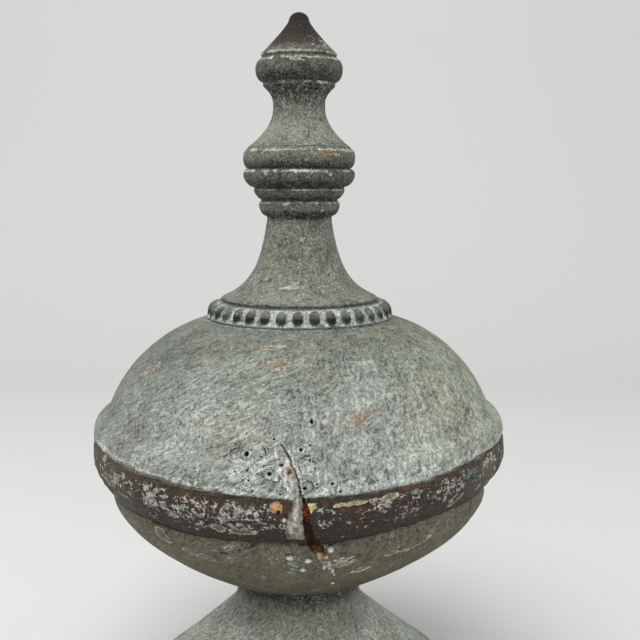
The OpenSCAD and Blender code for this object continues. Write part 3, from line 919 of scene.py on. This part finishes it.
# pale lumps on dark ground, thick on the left half of the band, sparse right of the check
dens = np.interp(az, [-180, -90, -55, -30, -12, -4, 2, 20, 40, 60, 90, 180], [0.60, 0.60, 0.60, 0.70, 0.72, 0.56, 0.55, 0.60, 0.66, 0.62, 0.60, 0.60])
high = np.interp(ze, [142, 148, 155, 160, 163], [0.55, 0.82, 1.06, 1.05, 0.70])
speck = on_band * np.clip(dens * high + 0.30 * ragged, 0.05, 0.95) + 0.52 * sstep(376.5, 379, zc) * (1 - 0.5 * sstep(383, 389, zc)) * (1 + 0.5 * np.sin(ar - 0.2))
speck = speck + (0.34 + 0.22 * sstep(-1.0, 2.0, by)) * in_bead * course
bd = np.clip(bead_dark_and_shade, 0, 1)[:, None]
tone = tone * (1 - bd) + lin((24, 20, 15)) * bd
rust = on_band * np.clip(0.12 + 0.45 * fbm(P0 / 14.0, 91, 2), 0, 1) + on_band * sstep(160.5, 163.0, ze) * 0.55 * (
    np.exp(-((az + 34) / 14) ** 4) + np.exp(-((az - 30) / 14) ** 4))
rust = np.clip(rust, 0, 0.8) + 0.08 * sstep(377, 381, zc)

patch_rgb = lin(np.where(has[:, None], fill_rgb, 0))
rim_lin = lin(np.where(has[:, None], rim_rgb, 0))
patch_a = best.copy()

# the check's own colours
LAV, LAVD, BROWN, DEEP_SHADE_BROWN, SLIVER = lin((206, 205, 199)), lin((140, 133, 125)), lin((106, 58, 20)), lin((52, 28, 13)), lin((156, 88, 30))
mix_in = np.clip(0.55 + 1.1 * gnarl + 0.5 * (ridge - 0.6) + 0.25 * sstep(165, 178, zc), 0, 1)[:, None]
incl_rgb = LAVD * (1 - mix_in) + LAV * mix_in
stain = np.clip(sstep(-0.1, 0.3, fbm(np.stack([azj * 1.3 + 9, zc / 4.0, rc * 0], 1), 605, 3)) * sstep(168, 160, zc), 0, 1)[:, None] * 0.7
incl_rgb = incl_rgb * (1 - stain) + lin((112, 74, 48)) * stain
green = (sstep(150, 144, zc) * 0.6)[:, None]
incl_rgb = incl_rgb * (1 - green) + lin((150, 150, 132)) * green
dx, dy = near(az, s, rc, -1.2, 178.0)
spot = np.exp(-(np.hypot(dx / 1.2, (dy + 0.2) / 2.8)) ** 4)[:, None] * 0.9
incl_rgb = incl_rgb * (1 - spot) + lin((122, 78, 36)) * spot
dx, dy = near(az, s, rc, -1.0, 177.1)
spot = np.exp(-(np.hypot(dx, dy) / 0.8) ** 4)[:, None]
incl_rgb = incl_rgb * (1 - spot) + lin((24, 14, 8)) * spot
# the crevice: dark brown wood, deepened to near-black as painted shade
crev_rgb = np.repeat(DEEP_SHADE_BROWN[None], N, 0)
sl = (np.exp(-((zc - 156.5) / 6.0) ** 4) * sstep(0.1, 0.5, e_r))[:, None]
crev_rgb = crev_rgb * (1 - sl) + SLIVER * sl
tl2 = sstep(144, 139, zc)[:, None] * np.clip(0.45 + 1.1 * gnarl, 0, 1)[:, None]
crev_rgb = crev_rgb * (1 - tl2) + BROWN * tl2
tl3 = sstep(135.5, 132.0, zc)[:, None] * np.clip(0.75 + 0.9 * gnarl, 0, 1)[:, None]
crev_rgb = crev_rgb * (1 - tl3) + lin((196, 168, 140)) * tl3
tl4 = sstep(130.5, 127.0, zc)[:, None] * np.clip(0.7 + 0.9 * gnarl, 0, 1)[:, None]
crev_rgb = crev_rgb * (1 - tl4) + lin((190, 192, 184)) * tl4
spots = fbm(P0 / 1.7 + 21, 611, 2)
crev_rgb = crev_rgb * np.clip(0.80 + 1.3 * spots, 0.25, 1.5)[:, None]
incl_rgb = incl_rgb * np.clip(1.0 + 0.5 * spots, 0.55, 1.25)[:, None]
solid = np.zeros(N)          # where a colour stands as it is
solid_rgb = np.zeros((N, 3))


def lay(rgb, w):
    """Lays a colour over what is there."""
    global solid, solid_rgb
    w = np.clip(w, 0, 1)
    tot = w + solid * (1 - w)
    k2 = np.where(tot > 1e-6, w / np.maximum(tot, 1e-6), 0)[:, None]
    solid_rgb = solid_rgb * (1 - k2) + rgb * k2
    solid = tot


lay(incl_rgb, w_incl)
lay(crev_rgb, w_crev * (1 - w_incl))
# painted shade along the left wall of the check, below 163 mm
wall_shade = np.clip(np.exp(-((e_l - 0.1) / 0.35) ** 2) * zone_up, 0, 1) * 0.6
lay(lin((66, 52, 42)), wall_shade * (zc < 163) * sstep(-0.2, 0.3, ragged))
lay(lin((206, 158, 108)), chip1 * (1 - w_incl))
lay(lin((236, 222, 160)), chip2 * (1 - w_crev))
# painted shade: near-black in the pit beside the check
lay(lin((26, 15, 9)), pit)
for a0, z0, w in ((8.4, 126.2, 1.3), (9.6, 127.2, 1.0), (10.8, 122.4, 0.8)):
    dx, dy = near(az, s, rc, a0, z0)
    lay(lin((206, 208, 200)), np.exp(-(np.hypot(dx, dy) / w) ** 4) * 0.9)
putty = np.clip(ring - 1.0, 0, 0.25) * 4
lay(lin((226, 228, 220)), putty)
# painted shade: near-black inside the holes
lay(lin((20, 15, 11)), sstep(0.35, 0.7, hole) * (1 - putty))
ring = np.clip(ring, 0, 1) * (1 - hole)
lay(lin((186, 193, 186)), np.where(putty > 0.01, 0, 0.42 * ring))
wash_and_highlight = np.clip(np.maximum(wash_and_highlight, 0.95 * ring), 0, 1)
wood = np.where(under, 1.0, 0.0)

# stroke directions: slanting on the left of the ball, steep on the right
left = sstep(25, -25, az) * (1 - sstep(150, 180, np.abs(az)))
patchy = fbm(P0 / 15.0, 171, 2)
w1 = np.clip(0.30 + 0.60 * left + 0.9 * patchy, 0.02, 1.3) ** 4
w2 = np.clip(0.30 + 0.60 * (1 - left) - 0.9 * patchy, 0.02, 1.3) ** 4
w3 = np.clip(0.42 + 1.2 * mid + np.where(zc > z_lip, 0.3, 0.0), 0.02, 1.3) ** 4
ws = np.sqrt(w1 ** 2 + w2 ** 2 + w3 ** 2)
R0 = np.where(s > s_course_top + 0.3, 27.0, np.where(s > s_foot_top - 0.3, 96.0, 62.0))


def helix(slant):
    a = ar + slant * s / R0
    return np.stack([R0 * np.sin(a), -R0 * np.cos(a), s], 1) / 1000.0


me = bpy.data.meshes.new("finial_body")
me.from_pydata(V.tolist(), [], FACES)
me.polygons.foreach_set("use_smooth", np.ones(len(me.polygons), bool))


def put(name, values, kind):
    a = me.attributes.new(name, kind, "POINT")
    if kind == "FLOAT_COLOR":
        a.data.foreach_set("color", np.ascontiguousarray(values, dtype=np.float32).ravel())
    elif kind == "FLOAT_VECTOR":
        a.data.foreach_set("vector", np.ascontiguousarray(values, dtype=np.float32).ravel())
    else:
        a.data.foreach_set("value", np.ascontiguousarray(values, dtype=np.float32).ravel())


put("tone", np.concatenate([np.clip(tone, 0, 1), np.clip(1 - 0.0 * zc, 0, 1)[:, None]], 1), "FLOAT_COLOR")
put("patch", np.concatenate([patch_rgb, patch_a[:, None]], 1), "FLOAT_COLOR")
put("rim", np.concatenate([rim_lin, outline[:, None]], 1), "FLOAT_COLOR")
put("solid", np.concatenate([solid_rgb, solid[:, None]], 1), "FLOAT_COLOR")
put("mask", np.stack([wash_and_highlight, np.clip(dirt_and_shade, 0, 1), np.clip(speck, 0, 1), np.clip(rust, 0, 1)], 1), "FLOAT_COLOR")
put("dirs", np.stack([w1 / ws, w2 / ws, w3 / ws], 1), "FLOAT_VECTOR")
put("wood", wood, "FLOAT")
put("curl", np.clip(above * (0.9 - 0.40 * (zc > z_ring1) * (zc < z_neck) - 0.45 * (zc > z_collar)) + 0.55 * sstep(30, 60, zc) * (1 - sstep(80, 90, zc)), 0, 1) * (zc < 379), "FLOAT")
put("slant_a", helix(-1.15), "FLOAT_VECTOR")
put("slant_b", helix(-0.10), "FLOAT_VECTOR")
put("slant_c", helix(-2.6), "FLOAT_VECTOR")

uv = me.uv_layers.new(name="OFBake")
flat = np.array([c for f in FUV for c in f], float)
tot = S[-1] + (plinth_r - 1.2)
uu = (flat[:, 0] + 180) / 360
vv = (flat[:, 1] + (plinth_r - 1.2)) / tot
# the underside lies in the lowest strip of the map
flat_uv = np.stack([uu * 0.998 + 0.001, vv * 0.998 + 0.001], 1)
uv.uv.foreach_set("vector", flat_uv.astype(np.float32).ravel())
me.update()
body = bpy.data.objects.new("finial_body", me)
bpy.context.scene.collection.objects.link(body)
tris = sum(len(f) - 2 for f in FACES)
print("finial_body: vertices", N, "faces", len(FACES), "triangles", tris, "leaves", len(leaves))

# ---------------------------------------------------------------------------
# Material
# ---------------------------------------------------------------------------
mat = bpy.data.materials.new("worn_zinc_grey_paint")
mat.use_nodes = True
nt = mat.node_tree
nt.nodes.clear()
out_node = nt.nodes.new("ShaderNodeOutputMaterial")
bsdf = nt.nodes.new("ShaderNodeBsdfPrincipled")
nt.links.new(bsdf.outputs["BSDF"], out_node.inputs["Surface"])


def link(a, b):
    if isinstance(a, (int, float)):
        b.default_value = a
    elif isinstance(a, tuple):
        b.default_value = a
    else:
        nt.links.new(a, b)


def attr(name, what="Color"):
    n = nt.nodes.new("ShaderNodeAttribute")
    n.attribute_type = "GEOMETRY"
    n.attribute_name = name
    return n.outputs[what]


def math_(op, a, b=0.0, c=0.0, clamp=False):
    n = nt.nodes.new("ShaderNodeMath")
    n.operation = op
    n.use_clamp = clamp
    link(a, n.inputs[0])
    link(b, n.inputs[1])
    link(c, n.inputs[2])
    return n.outputs[0]


def ramp(x, a, b, lo=0.0, hi=1.0):
    n = nt.nodes.new("ShaderNodeMapRange")
    n.interpolation_type = "SMOOTHSTEP"
    n.clamp = True
    link(x, n.inputs[0])
    link(a, n.inputs[1])
    link(b, n.inputs[2])
    link(lo, n.inputs[3])
    link(hi, n.inputs[4])
    return n.outputs[0]


def mix(f, a, b, mode="MIX"):
    n = nt.nodes.new("ShaderNodeMix")
    n.data_type = "RGBA"
    n.blend_type = mode
    n.clamp_factor = True
    link(f, n.inputs[0])
    for v, sock in ((a, n.inputs[6]), (b, n.inputs[7])):
        link(v, sock)
    return n.outputs[2]


def split(col):
    n = nt.nodes.new("ShaderNodeSeparateColor")
    nt.links.new(col, n.inputs[0])
    return n.outputs[0], n.outputs[1], n.outputs[2]


def noise(vec, scale, detail=2.0, rough=0.55, distort=0.0):
    n = nt.nodes.new("ShaderNodeTexNoise")
    n.noise_dimensions = "3D"
    nt.links.new(vec, n.inputs["Vector"])
    n.inputs["Scale"].default_value = scale
    n.inputs["Detail"].default_value = detail
    n.inputs["Roughness"].default_value = rough
    n.inputs["Distortion"].default_value = distort
    return n.outputs["Fac"]


def stretched(vec, sx, sy, sz, off=(0, 0, 0)):
    n = nt.nodes.new("ShaderNodeMapping")
    nt.links.new(vec, n.inputs["Vector"])
    n.inputs["Scale"].default_value = (sx, sy, sz)
    n.inputs["Location"].default_value = off
    return n.outputs["Vector"]


def rgb(r_, g_, b_):
    c = lin((r_, g_, b_))
    return (float(c[0]), float(c[1]), float(c[2]), 1.0)


tc = nt.nodes.new("ShaderNodeTexCoord")
obj = tc.outputs["Object"]
tone_c = attr("tone")
patch_c, patch_f = attr("patch"), attr("patch", "Alpha")
rim_c = attr("rim")
solid_c, solid_f = attr("solid"), attr("solid", "Alpha")
mask_node = nt.nodes.new("ShaderNodeAttribute")
mask_node.attribute_type = "GEOMETRY"
mask_node.attribute_name = "mask"
wash_and_highlight_m, dirt_and_shade_m, speck_m = split(mask_node.outputs["Color"])
rust_m = mask_node.outputs["Alpha"]
sepd = nt.nodes.new("ShaderNodeSeparateXYZ")
nt.links.new(attr("dirs", "Vector"), sepd.inputs[0])
curl_m = attr("curl", "Fac")
wood_m = attr("wood", "Fac")

# brush strokes in three directions, blended over the surface
ha, hb, hc = attr("slant_a", "Vector"), attr("slant_b", "Vector"), attr("slant_c", "Vector")


def strokes(width, length, off, detail=2.5, rough=0.6):
    k_ = 1.0 / width
    vals = []
    for h_, o in ((ha, 0.0), (hb, 3.7), (hc, 9.1)):
        v = stretched(h_, k_, k_, 1.0 / length, (off + o, off * 0.7, off * 1.3))
        vals.append(math_("SUBTRACT", noise(v, 1.0, detail, rough, 0.8), 0.5))
    a = math_("MULTIPLY_ADD", vals[0], sepd.outputs[0], 0.5)
    b = math_("MULTIPLY_ADD", vals[1], sepd.outputs[1], a)
    return math_("MULTIPLY_ADD", vals[2], sepd.outputs[2], b)


st_big = strokes(0.0030, 0.0095, 0.0)
st_mid = strokes(0.00125, 0.0036, 5.3)
st_fin = strokes(0.00062, 0.0017, 11.9, 2.0, 0.6)
flat_st = noise(stretched(hb, 150.0, 150.0, 780.0), 1.0, 3.0, 0.6, 0.6)
blot = noise(obj, 230.0, 4.0, 0.62, 0.4)
blot2 = noise(obj, 620.0, 3.0, 0.6, 0.8)
cloud = noise(obj, 34.0, 3.0, 0.55)
grain = noise(obj, 1500.0, 2.0, 0.6)
curls = noise(obj, 270.0, 1.6, 0.5, 2.6)

# hue drift: greener, browner and bluer areas
c0 = mix(ramp(cloud, 0.36, 0.66, 0.0, 0.14), tone_c, (0.33, 0.345, 0.275, 1.0), "OVERLAY")
c0 = mix(ramp(cloud, 0.60, 0.36, 0.0, 0.35), c0, mix(1.0, c0, (0.86, 0.99, 1.02, 1.0), "MULTIPLY"))
# wash with painted highlight, and dirt with painted shade, lie under the strokes
wv = math_("ADD", math_("MULTIPLY", blot, 0.45), math_("ADD", math_("MULTIPLY", blot2, 0.25), math_("MULTIPLY", st_mid, 0.30)))
w_thr = ramp(wash_and_highlight_m, 0.0, 1.0, 0.70, 0.34)
w_f = math_("MULTIPLY", ramp(math_("SUBTRACT", wv, w_thr), -0.03, 0.08), ramp(wash_and_highlight_m, 0.03, 0.2))
c0 = mix(math_("MULTIPLY", w_f, 0.88), c0, rgb(180, 187, 180))
d_thr = ramp(dirt_and_shade_m, 0.0, 1.0, 0.68, 0.30)
d_f = math_("MULTIPLY", ramp(math_("SUBTRACT", wv, d_thr), -0.03, 0.11), ramp(dirt_and_shade_m, 0.04, 0.3))
c0 = mix(math_("MULTIPLY", d_f, 0.93), c0, mix(1.0, c0, (0.17, 0.145, 0.11, 1.0), "MULTIPLY"))
# light and dark strokes
light_v = math_("ADD", math_("MULTIPLY", st_mid, 0.34), math_("ADD", math_("MULTIPLY", st_fin, 0.14), math_("MULTIPLY", st_big, 0.20)))
light_v = math_("ADD", light_v, math_("MULTIPLY", math_("SUBTRACT", blot2, 0.5), 0.46))
light_v = math_("ADD", light_v, math_("MULTIPLY", math_("SUBTRACT", blot, 0.5), 0.22))
calm = noise(obj, 62.0, 2.0, 0.55, 0.3)
light_s = math_("MULTIPLY", ramp(math_("SUBTRACT", light_v, ramp(calm, 0.38, 0.60, 0.022, -0.006)), 0.350, 0.402), ramp(calm, 0.36, 0.58, 0.62, 1.0))
dark_s = math_("MULTIPLY", ramp(math_("ADD", light_v, ramp(calm, 0.40, 0.62, -0.004, 0.020)), 0.322, 0.262), ramp(calm, 0.64, 0.44, 0.55, 1.0))
light_c = mix(1.0, c0, (1.92, 1.93, 1.98, 1.0), "MULTIPLY")
dark_c = mix(1.0, c0, (0.27, 0.265, 0.245, 1.0), "MULTIPLY")
c1 = mix(math_("MULTIPLY", light_s, 0.88), c0, light_c)
c1 = mix(math_("MULTIPLY", dark_s, 0.88), c1, dark_c)
# thin dark seams where one stroke overlaps the next
seam = math_("MULTIPLY", ramp(math_("ABSOLUTE", math_("SUBTRACT", st_mid, 0.492)), 0.013, 0.002), ramp(blot, 0.50, 0.60))
c1 = mix(math_("MULTIPLY", seam, 0.55), c1, mix(1.0, c1, (0.30, 0.29, 0.26, 1.0), "MULTIPLY"))
pin = ramp(grain, 0.59, 0.68)
c1 = mix(math_("MULTIPLY", pin, 0.36), c1, mix(0.5, c1, rgb(214, 220, 214)))
pit_v = ramp(math_("ADD", grain, math_("MULTIPLY", blot2, 0.35)), 0.560, 0.490)
c1 = mix(math_("MULTIPLY", pit_v, 0.55), c1, mix(1.0, c1, (0.30, 0.29, 0.25, 1.0), "MULTIPLY"))
# curly pale marks on the stem, rings and foot
curl_v = math_("ABSOLUTE", math_("SUBTRACT", curls, 0.5))
curl_l = math_("MULTIPLY", ramp(curl_v, 0.052, 0.026), math_("MULTIPLY", curl_m, ramp(blot, 0.40, 0.50)))
curl_d = math_("MULTIPLY", math_("MULTIPLY", ramp(curl_v, 0.050, 0.066), ramp(curl_v, 0.115, 0.080)), math_("MULTIPLY", curl_m, ramp(blot, 0.40, 0.50)))
c1 = mix(math_("MULTIPLY", curl_d, 0.70), c1, mix(1.0, c1, (0.32, 0.31, 0.28, 1.0), "MULTIPLY"))
c1 = mix(math_("MULTIPLY", curl_l, 0.80), c1, mix(0.70, c1, rgb(206, 210, 202)))

# brown stain on the dark band
rust_v = ramp(math_("ADD", math_("MULTIPLY", flat_st, 0.5), math_("MULTIPLY", blot, 0.5)), 0.47, 0.60)
c1 = mix(math_("MULTIPLY", rust_v, rust_m), c1, rgb(104, 60, 28))
# pale lumps of wash left on dark ground
lump_n = noise(obj, 360.0, 2.0, 0.5, 1.2)
sp_v = math_("ADD", math_("MULTIPLY", blot, 0.26), math_("ADD", math_("MULTIPLY", lump_n, 0.50), math_("MULTIPLY", flat_st, 0.24)))
thr = ramp(speck_m, 0.0, 1.0, 0.70, 0.455)
sp = ramp(math_("SUBTRACT", sp_v, thr), 0.0, 0.030)
sp = math_("MULTIPLY", sp, ramp(speck_m, 0.02, 0.1))
c1 = mix(math_("MULTIPLY", sp, 0.84), c1, mix(ramp(math_("ADD", math_("MULTIPLY", grain, 0.5), math_("MULTIPLY", blot2, 0.5)), 0.44, 0.60), rgb(132, 128, 117), rgb(220, 222, 214)))
# flaked places: rim, then fill
pf = math_("ADD", patch_f, math_("MULTIPLY", math_("SUBTRACT", blot2, 0.5), 0.20))
pf = math_("ADD", pf, math_("MULTIPLY", math_("SUBTRACT", st_fin, 0.5), 0.34))
rim_f = math_("MULTIPLY", ramp(pf, 0.47, 0.52), ramp(pf, 0.66, 0.58))
fill_f = math_("MULTIPLY", ramp(pf, 0.55, 0.62), 0.88)
c1 = mix(fill_f, c1, mix(ramp(light_v, 0.30, 0.40), mix(1.0, patch_c, (0.52, 0.50, 0.46, 1), "MULTIPLY"), patch_c))
# painted shade: a dark line round the edge of each flake
flake_edge_shade = math_("MULTIPLY", ramp(pf, 0.38, 0.43), ramp(pf, 0.49, 0.455))
c1 = mix(math_("MULTIPLY", flake_edge_shade, 0.50), c1, mix(1.0, c1, (0.36, 0.34, 0.30, 1.0), "MULTIPLY"))
c1 = mix(math_("MULTIPLY", rim_f, 0.84), c1, mix(ramp(blot2, 0.40, 0.56), mix(1.0, rim_c, (0.62, 0.61, 0.58, 1), "MULTIPLY"), rim_c))
# bare wood, crevice, holes
grn = ramp(math_("ADD", math_("MULTIPLY", st_fin, 0.45), math_("MULTIPLY", blot2, 0.55)), 0.40, 0.60)
c1 = mix(ramp(solid_f, 0.12, 0.62), c1, mix(grn, mix(1.0, solid_c, (0.58, 0.565, 0.54, 1), "MULTIPLY"), mix(1.0, solid_c, (1.22, 1.21, 1.18, 1), "MULTIPLY")))
# underside: bare end grain with its rings
ringn = nt.nodes.new("ShaderNodeTexWave")
ringn.wave_type = "RINGS"
ringn.rings_direction = "Z"
nt.links.new(stretched(obj, 1, 1, 1, (0.013, -0.021, 0)), ringn.inputs["Vector"])
ringn.inputs["Scale"].default_value = 46.0
ringn.inputs["Distortion"].default_value = 3.0
ringn.inputs["Detail"].default_value = 3.0
ringn.inputs["Detail Scale"].default_value = 1.2
wood_c = mix(ringn.outputs["Fac"], rgb(116, 86, 58), rgb(158, 124, 88))
wood_c = mix(ramp(blot, 0.52, 0.68, 0.0, 0.6), wood_c, rgb(84, 66, 48))
c1 = mix(wood_m, c1, wood_c)
link(c1, bsdf.inputs["Base Color"])

rough_v = math_("ADD", 0.70, math_("MULTIPLY", light_s, 0.12))
rough_v = math_("SUBTRACT", rough_v, math_("MULTIPLY", rust_m, 0.16))
rough_v = math_("ADD", rough_v, math_("MULTIPLY", math_("SUBTRACT", blot, 0.5), 0.30), clamp=True)
link(rough_v, bsdf.inputs["Roughness"])
bsdf.inputs["Specular IOR Level"].default_value = 0.35

hgt = math_("ADD", math_("MULTIPLY", light_v, 1.5), math_("MULTIPLY", grain, 0.20))
hgt = math_("SUBTRACT", hgt, math_("MULTIPLY", seam, 0.10))
hgt = math_("ADD", hgt, math_("MULTIPLY", sp, 0.30))
hgt = math_("ADD", hgt, math_("MULTIPLY", w_f, 0.10))
hgt = math_("ADD", hgt, math_("MULTIPLY", curl_l, 0.14))
hgt = math_("ADD", hgt, math_("MULTIPLY", rim_f, 0.20))
hgt = math_("SUBTRACT", hgt, math_("MULTIPLY", fill_f, 0.14))
bump = nt.nodes.new("ShaderNodeBump")
bump.inputs["Strength"].default_value = 0.85
bump.inputs["Distance"].default_value = 0.0021
nt.links.new(hgt, bump.inputs["Height"])
nt.links.new(bump.outputs["Normal"], bsdf.inputs["Normal"])
me.materials.append(mat)

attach(body, "root")
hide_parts("finial")

# ---------------------------------------------------------------------------
# Studio: pale floor sweeping up into a pale wall, soft light, and the camera
# ---------------------------------------------------------------------------
prof = [(-2.6, 0.0), (0.9, 0.0)]
for i in range(1, 25):
    a = 90 * i / 24
    prof.append((0.9 + 0.6 * sind(a), 0.6 * (1 - cosd(a))))
prof.append((1.5, 3.2))
xs = (-3.2, 3.2)
fv = [(x, y, zz) for y, zz in prof for x in xs]
ff = [(2 * i, 2 * i + 1, 2 * i + 3, 2 * i + 2) for i in range(len(prof) - 1)]
fm = bpy.data.meshes.new("studio_floor")
fm.from_pydata(fv, [], ff)
fm.polygons.foreach_set("use_smooth", np.ones(len(ff), bool))
fm.update()
floor = bpy.data.objects.new("studio_floor", fm)
bpy.context.scene.collection.objects.link(floor)
pale = bpy.data.materials.new("pale_paper")
pale.use_nodes = True
pb = pale.node_tree.nodes["Principled BSDF"]
pb.inputs["Base Color"].default_value = (0.74, 0.74, 0.725, 1)
pb.inputs["Roughness"].default_value = 0.9
fm.materials.append(pale)


def area(name, loc, aim, size, power, colour=(1, 1, 1)):
    ld = bpy.data.lights.new(name, "AREA")
    ld.shape = "RECTANGLE"
    ld.size, ld.size_y = size
    ld.energy = power
    ld.color = colour
    lo = bpy.data.objects.new(name, ld)
    lo.location = loc
    lo.rotation_mode = "QUATERNION"
    lo.rotation_quaternion = (Vector(aim) - Vector(loc)).to_track_quat("-Z", "Y")
    bpy.context.scene.collection.objects.link(lo)
    return lo


area("key_above", (-0.35, -0.55, 1.55), (0, 0, 0.2), (1.5, 1.2), 20.0, (1.0, 0.99, 0.97))
area("front_fill", (0.3, -2.2, 0.75), (0, 0, 0.2), (1.8, 1.2), 10.0, (0.99, 1.0, 1.0))
area("side_left", (-1.6, 0.1, 0.8), (0, 0, 0.22), (1.0, 1.4), 2.0)
area("side_right", (1.7, 0.0, 0.8), (0, 0, 0.22), (1.0, 1.4), 4.0)

world = bpy.data.worlds.new("studio")
bpy.context.scene.world = world
world.use_nodes = True
bg = world.node_tree.nodes["Background"]
bg.inputs["Color"].default_value = (0.95, 0.97, 1.0, 1)
bg.inputs["Strength"].default_value = 0.50
bpy.context.scene.view_settings.view_transform = "Standard"

cam_data = bpy.data.cameras.new("camera")
cam_data.sensor_width = 36.0
cam_data.lens = 52.31
cam_data.clip_start, cam_data.clip_end = 0.05, 20.0
cam = bpy.data.objects.new("camera", cam_data)
cam.location = (0.0114, -0.521, 0.306)
cam.rotation_euler = (math.radians(90 - 8.2), 0, 0)
bpy.context.scene.collection.objects.link(cam)
bpy.context.scene.camera = cam
